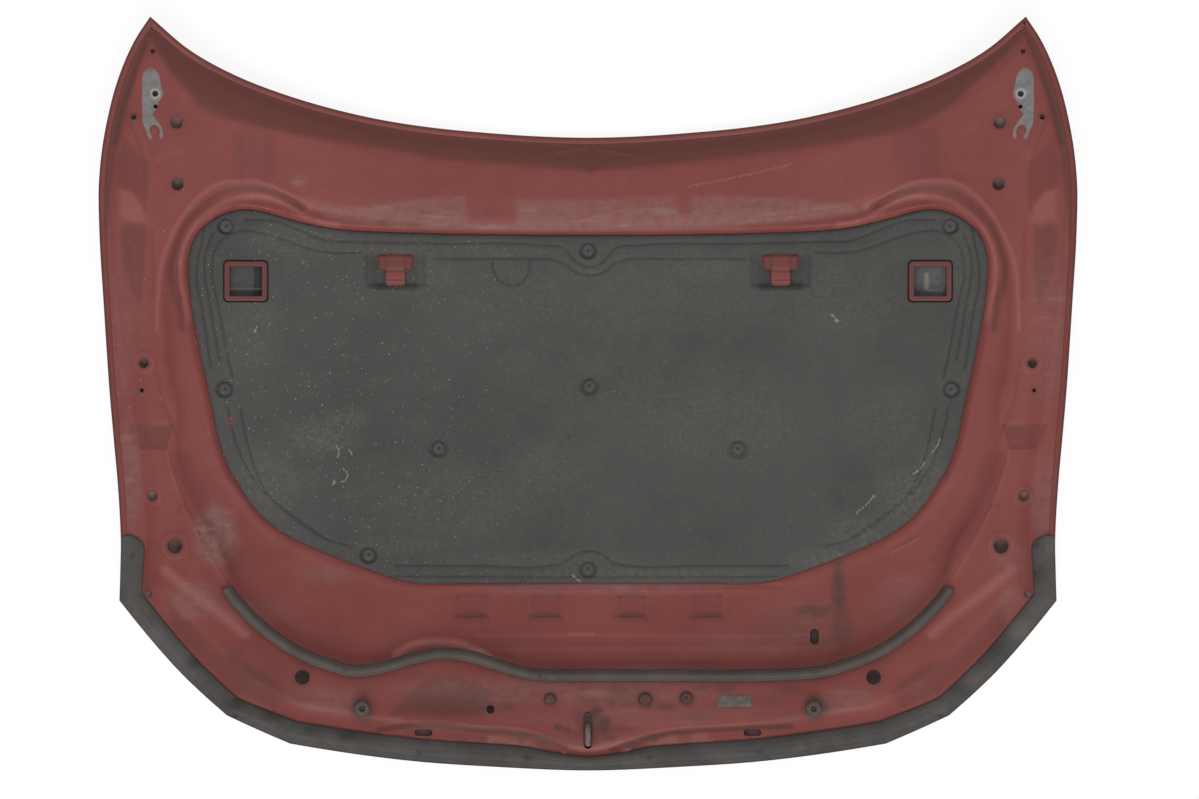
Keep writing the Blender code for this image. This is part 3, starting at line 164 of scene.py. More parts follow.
def smooth(share):
    share = np.clip(share, 0.0, 1.0)
    return share * share * (3 - 2 * share)


def bump(distance):
    """One at zero, falling smoothly to nothing at one."""
    return smooth(1 - np.abs(distance))


def both_sides(x, y):
    """A place in millimetres and its mirror image, left one first, in metres."""
    return [np.array((side * x, y)) * MM for side in (-1, 1)]


# Factors for the two sides of the bonnet; a table row that is on one side only takes the first
MIRRORS = ((1, 1), (-1, 1))


def closed(loop):
    """A loop that ends on its first point again."""
    return np.vstack([loop, loop[:1]])


# Rings that run round the bonnet

def key_pull(before, here, after):
    length_before = np.linalg.norm(here - before)
    length_after = np.linalg.norm(after - here)
    slope_before = (here - before) / length_before
    slope_after = (after - here) / length_after
    return (slope_before * length_after + slope_after * length_before) / (length_before + length_after)


def hermite(start, end, start_pull, end_pull, share):
    square = share * share
    cube = square * share
    return (start * (2 * cube - 3 * square + 1) + start_pull * (cube - 2 * square + share)
            + end * (3 * square - 2 * cube) + end_pull * (cube - square))


def even_points(line, steps):
    """Points at even distances along a line, without its end."""
    lengths = np.concatenate([[0], np.cumsum(np.linalg.norm(np.diff(line, axis=0), axis=1))])
    wanted = lengths[-1] * np.arange(steps) / steps
    return np.stack([np.interp(wanted, lengths, line[:, axis]) for axis in (0, 1)], 1)


def half_ring(table, corners=()):
    """The right half of a ring: a smooth curve through the table's points, cut into the stations."""
    keys = np.array([point for row in table for point in row], float) * MM
    ends = np.concatenate([[0], np.cumsum([len(row) for row in table]) - 1])
    sharp = {ends[corner] for corner in corners}
    padded = np.vstack([keys[1] * (-1, 1), keys, keys[-2] * (-1, 1)])
    stations = []
    for sector, steps in enumerate(SECTOR_STEPS):
        dense = []
        for key in range(ends[sector], ends[sector + 1]):
            chord = keys[key + 1] - keys[key]
            length = np.linalg.norm(chord)
            first, last = (key_pull(*padded[k:k + 3]) * length for k in (key, key + 1))
            first = chord if key in sharp else first
            last = chord if key + 1 in sharp else last
            dense += [hermite(keys[key], keys[key + 1], first, last, step / 16) for step in range(16)]
        dense.append(keys[ends[sector + 1]])
        stations.append(even_points(np.array(dense), steps))
    return np.vstack(stations + [keys[-1:]])


def whole(half):
    """A half ring or half list with its mirror image."""
    if half.ndim == 2:
        return np.vstack([half, half[-2:0:-1] * (-1, 1)])
    return np.concatenate([half, half[-2:0:-1]])


def along(values, scale=MM):
    """Values given at the spokes, spread smoothly over all stations."""
    half = [values[sector] + (values[sector + 1] - values[sector]) * smooth(step / steps)
            for sector, steps in enumerate(SECTOR_STEPS) for step in range(steps)]
    return whole(np.array(half + [values[-1]]) * scale)


def inset(ring, distances):
    """The ring moved inwards by a distance for each station, with mitred corners."""
    before = ring - np.roll(ring, 1, 0)
    after = np.roll(ring, -1, 0) - ring
    before = before / np.linalg.norm(before, axis=1)[:, None]
    after = after / np.linalg.norm(after, axis=1)[:, None]
    normal_before = np.stack([before[:, 1], -before[:, 0]], 1)
    normal_after = np.stack([after[:, 1], -after[:, 0]], 1)
    normal = normal_before + normal_after
    normal = normal / np.linalg.norm(normal, axis=1)[:, None]
    mitre = np.maximum((normal * normal_before).sum(1), 0.5)
    return ring + normal * (np.broadcast_to(distances, len(ring)) / mitre)[:, None]


def between(outer, inner, shares):
    return outer + (inner - outer) * np.broadcast_to(shares, len(outer))[:, None]


def latch_bow(ring, depth):
    return np.where(ring[:, 1] < 0, depth * bump(ring[:, 0] / LATCH_BOW_HALF), 0.0)


def arched(ring):
    """The seal's line, bowed rearward on its left round the dish."""
    low = ring[:, 1] < RIDGE[4][2][1] * MM
    bow = np.where(low, ARCH_DEPTH * bump((ring[:, 0] - ARCH_X) / ARCH_HALF), 0.0)
    return ring + np.stack([np.zeros(len(ring)), bow], 1)


def spoke_station(spoke):
    return sum(SECTOR_STEPS[:spoke])


def finer(ring, corners=()):
    """A ring or list with FINER points for each station, curved between them but sharp at its corners."""
    count = len(ring)
    before = ring - np.roll(ring, 1, 0)
    after = np.roll(ring, -1, 0) - ring
    pull = (before + after) / 2
    first, last = pull.copy(), pull.copy()
    for corner in corners:
        for station in (spoke_station(corner), count - spoke_station(corner)):
            first[station % count] = after[station % count]
            last[station % count] = before[station % count]
    share = np.arange(FINER) / FINER
    share = share[None, :, None] if ring.ndim == 2 else share[None, :]
    here = ring[:, None]
    curve = hermite(here, np.roll(here, -1, 0), first[:, None], np.roll(last, -1, 0)[:, None], share)
    return curve.reshape(-1, 2) if ring.ndim == 2 else curve.reshape(-1)


def make_rings():
    """Coarse rings in plan, from the hem to the middle of the pad tray, as the frame's sheet has them."""
    outline = whole(half_ring(OUTLINE, OUTLINE_CORNERS))
    ridge = arched(whole(half_ring(RIDGE)))
    pad = whole(half_ring(PAD))
    foot = along(WALL_FOOT_INSET) - latch_bow(outline, LATCH_FOOT_BOW)
    top = along(WALL_TOP_INSET) - latch_bow(outline, LATCH_TOP_BOW)
    rings = {"outline": outline, "ridge": ridge, "pad": pad, "hem": inset(outline, FRAME_EDGE_INSET)}
    rings["wall_foot"] = inset(outline, foot)
    rings["wall_top"] = inset(outline, top)
    rings["land_outer"] = inset(ridge, -along(LAND_HALF_WIDTH))
    rings["land_inner"] = inset(ridge, along(LAND_HALF_WIDTH))
    rings["box_outer"] = between(rings["wall_top"], rings["land_outer"], BOX_OUTER_AT)
    rings["box_middle"] = between(rings["wall_top"], rings["land_outer"], BOX_MIDDLE_AT)
    rings["pad_seat"] = inset(pad, -PAD_SEAT_OUT)
    places = (("valley_outer", VALLEY_OUTER_AT), ("valley_inner", VALLEY_INNER_AT), ("bead", BEAD_AT))
    for name, shares in places:
        rings[name] = between(rings["land_inner"], rings["pad_seat"], along(shares, 1.0))
    rings["tray_edge"] = inset(pad, TRAY_EDGE_IN)
    rings["tray_middle"] = pad * TRAY_MIDDLE_AT
    return rings


RINGS = make_rings()
STATIONS = len(RINGS["outline"])
SECTION = (
    ("hem", FOLD_RISE / MM), ("wall_foot", FOLD_RISE / MM), ("wall_top", WALL_TOP_RISE),
    ("box_outer", BOX_OUTER_RISE), ("box_middle", BOX_MIDDLE_RISE), ("land_outer", LAND_RISE),
    ("land_inner", LAND_RISE), ("valley_outer", VALLEY_OUTER_RISE), ("valley_inner", VALLEY_INNER_RISE),
    ("bead", BEAD_RISE), ("pad_seat", PAD_SEAT_RISE), ("tray_edge", TRAY_RISE), ("tray_middle", TRAY_RISE),
)


def skin_z(x, y):
    """Height of the middle of the outer skin's sheet."""
    back = np.asarray(y) - LOWEST_Y
    nose = np.clip(-back, 0, None) / (LOWEST_Y + BONNET_LENGTH / 2)
    rear = np.clip(back, 0, None) / (BONNET_LENGTH / 2 - LOWEST_Y)
    side = np.abs(x) / (BONNET_WIDTH / 2)
    return (SIDE_RISE * side ** SIDE_CURVE + NOSE_RISE * nose ** NOSE_CURVE + REAR_RISE * rear ** REAR_CURVE
            + SKIN_THICKNESS / 2)


def rounded_section(distance, rise):
    """One section's rises with rounded creases: sample distances and their rises."""
    margin = 0.03
    samples = np.linspace(-margin, distance[-1] + margin, SECTION_SAMPLES)
    straight = np.interp(samples, distance, rise)
    radius = np.interp(samples, distance, CREASE_RADIUS)
    for _ in range(2):
        step = samples[1] - samples[0]
        total = np.concatenate([[0], np.cumsum((straight[1:] + straight[:-1]) / 2 * step)])
        reach = np.minimum(radius, np.minimum(samples - samples[0], samples[-1] - samples) + 1e-5)
        straight = (np.interp(samples + reach, samples, total) - np.interp(samples - reach, samples, total))
        straight = straight / (np.minimum(samples + reach, samples[-1]) - np.maximum(samples - reach, samples[0]))
        radius = radius * 0.6
    return samples, straight


def master_sheet():
    """The frame's sheet as rows of points along its rings: plan places and rises above the skin."""
    corner_rings = ("hem", "wall_foot")
    knots = np.array([finer(RINGS[name], OUTLINE_CORNERS if name in corner_rings else ()) for name, _ in SECTION])
    rises = np.array([np.full(STATIONS * FINER, rise * MM) if np.isscalar(rise) else finer(along(rise))
                      for _, rise in SECTION])
    shares, first = [], []
    for segment, steps in enumerate(ROW_STEPS):
        shares += [step / steps for step in range(steps)]
        first += [segment] * steps
    shares.append(1.0)
    first.append(len(ROW_STEPS) - 1)
    shares, first = np.array(shares)[:, None], np.array(first)
    plan = knots[first] + (knots[first + 1] - knots[first]) * shares[:, :, None]
    lengths = np.linalg.norm(np.diff(knots, axis=0), axis=2)
    reach = np.vstack([np.zeros(lengths.shape[1]), np.cumsum(lengths, axis=0)])
    places = reach[first] + (reach[first + 1] - reach[first]) * shares
    heights = np.empty(places.shape)
    for station in range(places.shape[1]):
        samples, rounded = rounded_section(reach[:, station], rises[:, station])
        heights[:, station] = np.interp(places[:, station], samples, rounded)
    return plan, heights


SHEET_PLAN, SHEET_RISE = master_sheet()


def grid_tree(plan, heights):
    """Search tree of a sheet through rows of points, closed by a fan."""
    rows, count = heights.shape
    z = skin_z(plan[..., 0], plan[..., 1]) + heights
    points = np.dstack([plan, z]).reshape(-1, 3)
    start = (np.arange(rows - 1)[:, None] * count + np.arange(count)).ravel()
    following = (np.arange(rows - 1)[:, None] * count + (np.arange(count) + 1) % count).ravel()
    quads = np.stack([start, following, following + count, start + count], 1)
    points = np.vstack([points, [[0, 0, skin_z(0, 0) + heights[-1, 0]]]])
    last = (rows - 1) * count + np.arange(count)
    fan = [(int(a), int(b), len(points) - 1) for a, b in zip(last, np.roll(last, -1))]
    return BVHTree.FromPolygons(points.tolist(), quads.tolist() + fan)


FRAME_TREE = grid_tree(SHEET_PLAN, SHEET_RISE)


def tree_z(tree, places):
    """Heights of a sheet at places in plan."""
    down = Vector((0, 0, -1))
    heights = np.empty(len(places))
    for index, (x, y) in enumerate(places):
        hit = tree.ray_cast(Vector((x, y, 1)), down)
        heights[index] = hit[0].z if hit[0] is not None else np.nan
    return heights


# Sheets triangulated in plan

def inside(places, loop):
    """Which places lie inside a closed outline."""
    found = np.zeros(len(places), bool)
    near = np.all((places >= loop.min(0)) & (places <= loop.max(0)), axis=1).nonzero()[0]
    ends = np.roll(loop, -1, 0)
    for part in np.array_split(near, len(near) // 4000 + 1):
        x, y = places[part, 0][:, None], places[part, 1][:, None]
        crosses = (loop[:, 1] > y) != (ends[:, 1] > y)
        rise = np.where(ends[:, 1] == loop[:, 1], 1, ends[:, 1] - loop[:, 1])
        at = loop[:, 0] + (y - loop[:, 1]) * (ends[:, 0] - loop[:, 0]) / rise
        found[part] = (crosses & (x < at)).sum(1) % 2 == 1
    return found


def triangulate(outline, holes, places):
    """Plan points and triangles of a sheet, with the numbers of its outline's and its holes' points."""
    loops = [outline] + holes
    points = np.vstack(loops + [places])
    edges, starts, start = [], [], 0
    for loop in loops:
        count = len(loop)
        edges += [(start + index, start + (index + 1) % count) for index in range(count)]
        starts.append((start, count))
        start += count
    result = delaunay_2d_cdt([Vector(point) for point in points.tolist()], edges, [], 0, 1e-7)
    plan = np.array([tuple(point) for point in result[0]])
    triangles = np.array(result[2])
    number = {}
    for new, olds in enumerate(result[3]):
        for old in olds:
            number[old] = new
    middles = plan[triangles].mean(1)
    keep = inside(middles, outline)
    for hole in holes:
        keep &= ~inside(middles, hole)
    triangles = triangles[keep]
    a, b, c = (plan[triangles[:, corner]] for corner in range(3))
    turned_over = (b[:, 0] - a[:, 0]) * (c[:, 1] - a[:, 1]) < (b[:, 1] - a[:, 1]) * (c[:, 0] - a[:, 0])
    triangles[turned_over] = triangles[turned_over][:, ::-1]
    numbers = [[number[index] for index in range(first, first + count)] for first, count in starts]
    return plan, triangles, numbers


def add_piece(name, points, faces, nodes=(), material=None, crease=40, attributes=None):
    """A shown piece of the bonnet: its mesh, its material and what it stands for."""
    mesh = bpy.data.meshes.new(name)
    mesh.from_pydata([tuple(point) for point in np.asarray(points).tolist()], [], [tuple(face) for face in faces])
    for label, values in (attributes or {}).items():
        layer = mesh.attributes.new(label, "FLOAT", "POINT")
        layer.data.foreach_set("value", np.asarray(values, np.float32))
    mesh.shade_smooth()
    mesh.set_sharp_from_angle(angle=math.radians(crease))
    item = bpy.data.objects.new(name, mesh)
    bpy.context.scene.collection.objects.link(item)
    if material:
        mesh.materials.append(material)
    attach(item, "root")
    if nodes:
        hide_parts(*nodes)
    return item


def turning(loop):
    """Positive where a loop runs anticlockwise."""
    x, y = loop[:, 0], loop[:, 1]
    return np.sum(x * np.roll(y, -1) - y * np.roll(x, -1))


def ring_points(centre, radius, gap=0.0016, least=12):
    sides = max(least, int(2 * math.pi * radius / gap))
    angle = 2 * math.pi * (np.arange(sides) + 0.5) / sides
    return np.array(centre) + radius * np.stack([np.cos(angle), np.sin(angle)], 1)


def corner_points(width, length, radius, steps):
    """The rounded corners of a rectangle, anticlockwise."""
    reach = np.array([width / 2 - radius, length / 2 - radius])
    points = []
    for quarter in range(4):
        sign = np.array([1 if quarter in (0, 3) else -1, 1 if quarter in (0, 1) else -1])
        for step in range(steps):
            angle = math.pi / 2 * (quarter + step / (steps - 1))
            points.append(sign * reach + radius * np.array([math.cos(angle), math.sin(angle)]))
    return np.array(points)


def slot_loop(centre, width, length, steps=7):
    """A slot with round ends whose long way lies along its larger size."""
    return without_repeats(np.array(centre) + corner_points(width, length, min(width, length) / 2, steps))


def box_loop(centre, width, length, corner, steps=5, gap=0.004):
    """A rectangle with rounded corners and points along its sides."""
    return np.array(centre) + dense_loop(corner_points(width, length, corner, steps), gap)


def without_repeats(points, nearest=1e-6):
    far = np.linalg.norm(points - np.roll(points, 1, 0), axis=1) > nearest
    return points[far]


def dense_line(line, gap):
    """A line with points no further apart than a gap."""
    points = [line[:1]]
    for start, end in zip(line, line[1:]):
        steps = max(1, math.ceil(np.linalg.norm(end - start) / gap))
        points.append(start + (end - start) * (np.arange(1, steps + 1) / steps)[:, None])
    return np.vstack(points)


def dense_loop(loop, gap):
    return dense_line(closed(loop), gap)[:-1]


def curved(pixels, gap=0.003):
    """A smooth line through pixels of the photograph, with points at even distances."""
    keys = spots(pixels)
    padded = np.vstack([2 * keys[0] - keys[1], keys, 2 * keys[-1] - keys[-2]])
    line = []
    for index in range(1, len(padded) - 2):
        before, here, after, beyond = padded[index - 1:index + 3]
        length = np.linalg.norm(after - here)
        first = key_pull(before, here, after) * length
        last = key_pull(here, after, beyond) * length
        line += [hermite(here, after, first, last, step / 12) for step in range(12)]
    line = np.array(line + [keys[-1]])
    steps = max(2, int(np.linalg.norm(np.diff(line, axis=0), axis=1).sum() / gap))
    return np.vstack([even_points(line, steps), line[-1:]])


def distance_to(places, line):
    """Distance from each place to a line, as far as 30 mm."""
    found = np.full(len(places), 0.03)
    near = np.all((places > line.min(0) - 0.03) & (places < line.max(0) + 0.03), axis=1).nonzero()[0]
    for part in np.array_split(near, len(near) // 4000 + 1):
        start, step = line[:-1], np.diff(line, axis=0)
        offset = places[part][:, None] - start
        share = np.clip((offset * step).sum(2) / np.maximum((step * step).sum(1), 1e-12), 0, 1)
        gaps = np.linalg.norm(offset - share[..., None] * step, axis=2)
        if len(part):
            found[part] = np.minimum(found[part], gaps.min(1))
    return found


def beside(line, offsets):
    """Points of a line and of its parallels."""
    step = np.gradient(line, axis=0)
    normal = np.stack([step[:, 1], -step[:, 0]], 1) / np.linalg.norm(step, axis=1)[:, None]
    return np.vstack([line + normal * offset for offset in offsets])


class Sheet:
    """A growing mesh: its points, its faces and a few values at each point."""

    def __init__(self, points, faces, values):
        self.points = np.asarray(points, float)
        self.faces = [tuple(face) for face in np.asarray(faces).tolist()]
        self.values = {label: np.asarray(array, float) for label, array in values.items()}

    def grow(self, points, source):
        """Adds points, with the values of the points numbered in source."""
        start = len(self.points)
        self.points = np.vstack([self.points, points])
        for label, array in self.values.items():
            self.values[label] = np.concatenate([array, array[source]])
        return list(range(start, start + len(points)))

    def join(self, upper, lower, flip):
        for index in range(len(upper)):
            following = (index + 1) % len(upper)
            quad = (upper[index], upper[following], lower[following], lower[index])
            self.faces.append(quad[::-1] if flip else quad)

    def walls(self, numbers, steps, hole=True, darken=0.0):
        """Rings below a loop of points. Each step moves the loop inwards and down by its two distances."""
        loop = self.points[numbers]
        anticlockwise = turning(loop[:, :2]) > 0
        sign = -1 if anticlockwise else 1
        last = numbers
        for shrink, drop in steps:
            ring = inset(loop[:, :2], sign * shrink)
            new = self.grow(np.column_stack([ring, loop[:, 2] - drop]), numbers)
            if darken:
                self.values["shade"][new] = darken
            self.join(last, new, anticlockwise != hole)
            last = new
        return last

    def cap(self, numbers, upward=True):
        """Closes a loop with a fan to its middle."""
        loop = self.points[numbers]
        middle = self.grow(loop.mean(0)[None], numbers[:1])[0]
        flip = (turning(loop[:, :2]) > 0) != upward
        for index in range(len(numbers)):
            face = (numbers[index], numbers[(index + 1) % len(numbers)], middle)
            self.faces.append(face[::-1] if flip else face)

    def merge(self, other):
        start = len(self.points)
        self.points = np.vstack([self.points, other.points])
        self.faces += [tuple(index + start for index in face) for face in other.faces]
        for label in self.values:
            more = other.values.get(label, np.zeros(len(other.points)))
            self.values[label] = np.concatenate([self.values[label], more])

    def piece(self, name, nodes, slot, material, crease=40):
        return add_piece(name, self.points, self.faces, nodes, material, crease, self.values)


def grid(low, high, gap):
    """Places at even distances in a rectangle, every other row shifted by half a step."""
    xs = np.arange(low[0], high[0], gap)
    ys = np.arange(low[1], high[1], gap * 0.87)
    x, y = np.meshgrid(xs, ys)
    x = x + np.where(np.arange(len(ys)) % 2, gap / 2, 0)[:, None]
    return np.column_stack([x.ravel(), y.ravel()])


def clear_of(places, others, gap):
    """The places that keep a gap from other points."""
    cells = {}
    for x, y in others:
        cells.setdefault((int(x // gap), int(y // gap)), []).append((x, y))
    keep = np.ones(len(places), bool)
    for index, (x, y) in enumerate(places):
        column, row = int(x // gap), int(y // gap)
        for near_column in (column - 1, column, column + 1):
            for near_row in (row - 1, row, row + 1):
                for other_x, other_y in cells.get((near_column, near_row), ()):
                    if (x - other_x) ** 2 + (y - other_y) ** 2 < gap * gap:
                        keep[index] = False
    return places[keep]


def patch(outline, gap, height, thickness, values=("shade",)):
    """A closed plate over an outline in plan, whose top follows a height for each place."""
    inner = grid(outline.min(0), outline.max(0), gap)
    inner = clear_of(inner[inside(inner, outline)], outline, gap * 0.6)
    plan, triangles, numbers = triangulate(outline, [], inner)
    top = np.column_stack([plan, height(plan)])
    sheet = Sheet(top, triangles, {label: np.zeros(len(plan)) for label in values})
    below = sheet.grow(top - (0, 0, thickness), list(range(len(plan))))
    sheet.faces += [tuple(below[index] for index in face[::-1]) for face in triangles.tolist()]
    loop = numbers[0]
    sheet.join(loop, [below[index] for index in loop], turning(plan[loop]) > 0)
    return sheet


# Frame: holes, embosses, dish and other local shapes of the pressing

# Name, place in millimetres, radius of the hole and of the emboss round it in metres
ROUND_HOLES = (
    ("access_front", 427, -425, 0.0110, 0), ("access_side", 619, -229.4, 0.0110, 0.0225),
    ("small_side", 653.3, -155, 0.0072, 0.0165), ("round_side", 665.8, 44.6, 0.0072, 0.0186),
    ("pin_side", 669, 4, 0.0031, 0), ("rear_upper", 616.7, 405, 0.0090, 0), ("rear_lower", 615.3, 312.8, 0.0090, 0),
    ("rear_outer", 680, 413, 0.0042, 0.0078), ("tip", 651.5, 512, 0.0038, 0), ("seal_side", 659, -301, 0.0054, 0),
)
SINGLE_HOLES = ((-145.7, -473, 0.0063),)
HINGE_HOLES = ((647.94, 448.06, 0.00435), (647.5, 429.0, 0.00345))
EMBOSS_HEIGHT = 0.0009
EMBOSS_BEVEL = 0.0040
FRONT_SLOT = (246, -508, 0.0270, 0.0105)
PROP_SLOT = (340, -366, 0.0135, 0.0235)
STRIKER_SLOT = (0, -503.5, 0.0135, 0.0550)
PLUG_HOLES = ((-56.6, -458.4, 0.0070), (85.4, -458.7, 0.0084), (147, -456.5, 0.0074))
HOLE_EDGE = ((0.0003, 0.0007), (0.0003, 0.0022))
HOLE_SHADE = 0.55
DISH_CENTRE = (-0.226, -0.457)
DISH_HALF = (0.085, 0.045)
DISH_DEPTH = 0.007
STAMPED_BOXES = ((456, 487), (532.5, 561), (618.6, 646.4), (694, 722.5))
STAMPED_ROWS = (598, 619)
STAMPED_DEPTH = 0.0016
COLLARS = both_sides(514, 168)
COLLAR_SIZE = np.array((0.064, 0.060))
COLLAR_ROUND = 0.008
COLLAR_CORNER = 0.006
# Darkening of the collar's rings: dirt on the rim, painted shade at the foot and down the lip inside
COLLAR_DIRT_AND_SHADE = {0.0: 0.9, 0.0004: 0.85, 0.0014: 0.85, 0.0060: 0.8, 0.0074: 0.9, 0.0080: 0.95, 0.0082: 1.0}
COLLAR_STEPS = (
    (0.0, -0.0100), (0.0004, -0.0111), (0.0014, -0.0115), (0.0060, -0.0115), (0.0074, -0.0112), (0.0080, -0.0100),
    (0.0082, -0.0065),
)


def box_share(places, centre, half, edge):
    """One inside a rectangle, falling to nothing over the width of its edge outside."""
    offset = np.abs(places - centre) - half
    distance = np.linalg.norm(np.maximum(offset, 0), axis=1)
    return smooth(1 - distance / edge)


def line_share(places, pixels, width):
    """One on a line through pixels of the photograph, falling to nothing at its half width."""
    return bump(distance_to(places, curved(pixels)) / width)


def stamped_boxes(places):
    depth = np.zeros(len(places))
    for left, right in STAMPED_BOXES:
        low, high = spot(left, STAMPED_ROWS[1]), spot(right, STAMPED_ROWS[0])
        offset = np.abs(places - (low + high) / 2) - (high - low) / 2
        chamfer = offset.sum(1) + 0.006
        depth += smooth(-np.maximum(offset.max(1), chamfer * 0.7) / 0.0030)
    return depth


CENTRE_BUMP = ((549, 157), (591, 149), (637, 157))
SHIELDS = ((181, 511), (995, 511))

# Tone runs from -1, darker, to 1, lighter: painted shade in bands, grooves, the dish and on slopes, and painted
# highlight on crests. Each outline or line is in pixels of the photograph.
# Areas: on both sides or not, half width of the edge in metres, tone, rise in metres, outline
AREAS = (
    (False, 0.0055, -0.85, 0, ((130, -10), (140, 20), (155, 45), (172, 75), (188, 91), (200, 107), (223, 118),
     (254, 125.5), (295, 135), (343, 143), (390, 149.5), (446, 160), (513, 164), (557, 168.5), (592, 171),
     (628, 168.5), (690, 162), (756, 154.5), (790, 150), (838, 143), (869, 138), (916, 127), (951, 107),
     (967, 91), (992, 69), (1011, 50), (1040, 20), (1050, -10), (1000, 20), (880, 60), (589, 90), (300, 60),
     (200, 20))),
    (True, 0.0045, -0.75, 0, ((156, 20), (150, 40), (140, 64), (132, 95), (124, 127), (118, 150), (112, 190),
     (107, 240), (90, 245), (85, 100), (110, 20))),
    (False, 0.0030, -0.45, -0.0006, ((548, 156), (570, 160), (591, 172), (612, 160), (630, 156), (591, 158))),
    (False, 0.0030, -0.20, 0, ((232, 132), (245, 134), (245, 182), (232, 180))),
    (False, 0.0030, -0.20, 0, ((265, 138), (276, 139), (276, 180), (265, 182))),
    (False, 0.0040, -0.20, 0, ((894, 134), (941, 124), (941, 178), (894, 181))),
    (False, 0.0042, -0.52, -0.0016, ((121, 223), (147, 223), (146, 260), (140.5, 304), (131, 287), (121.6, 261))),
    (False, 0.0042, -0.52, -0.0016, ((1034, 225), (1060, 225), (1058, 245), (1053, 277), (1038, 303), (1034, 267))),
    (True, 0.0080, 0.30, 0.0006, ((121, 186), (134, 192), (145, 206), (146, 221), (121, 221))),
    (True, 0.0050, -0.42, -0.0008, ((124, 141), (115, 170), (118, 186), (134, 192), (144, 206), (148, 186),
     (147, 163), (139, 150))),
    (True, 0.0020, -0.48, -0.0018, ((128, 424), (175, 424), (168, 449), (139, 449))),
    (True, 0.0028, -0.26, 0, ((170, 450), (172, 467), (185, 507), (199, 534), (231, 576), (247, 560), (212, 505),
     (192, 455))),
    (True, 0.0050, -0.50, 0, ((287, 692), (276, 679), (252, 665), (225, 655), (205, 635), (172, 602), (170, 625),
     (199, 655), (239, 692), (276, 709))),
    (False, 0.0045, -0.25, 0, ((225, 641), (262, 641), (288, 662), (288, 690), (262, 694), (235, 672))),
    (False, 0.0050, -0.70, 0, ((389, 715), (405, 697), (424, 680), (455, 675), (482, 684), (495, 702), (480, 716),
     (446, 716), (420, 714))),
    (False, 0.0020, -0.16, 0, ((470, 639), (822, 637), (833, 646), (470, 648))),
    (False, 0.0020, -0.16, 0, ((456, 734), (486, 735), (486, 742), (456, 741))),
    (False, 0.0020, 0.30, 0.0003, ((488, 735), (518, 736), (518, 745), (488, 744))),
    (False, 0.0020, 0.26, 0.0003, ((523, 739), (537, 741), (537, 748), (523, 747))),
    (False, 0.0020, 0.32, 0.0003, ((658, 735), (678, 733), (678, 743), (658, 745))),
    (False, 0.0020, 0.26, 0.0003, ((692, 733), (708, 732), (708, 741), (692, 743))),
)

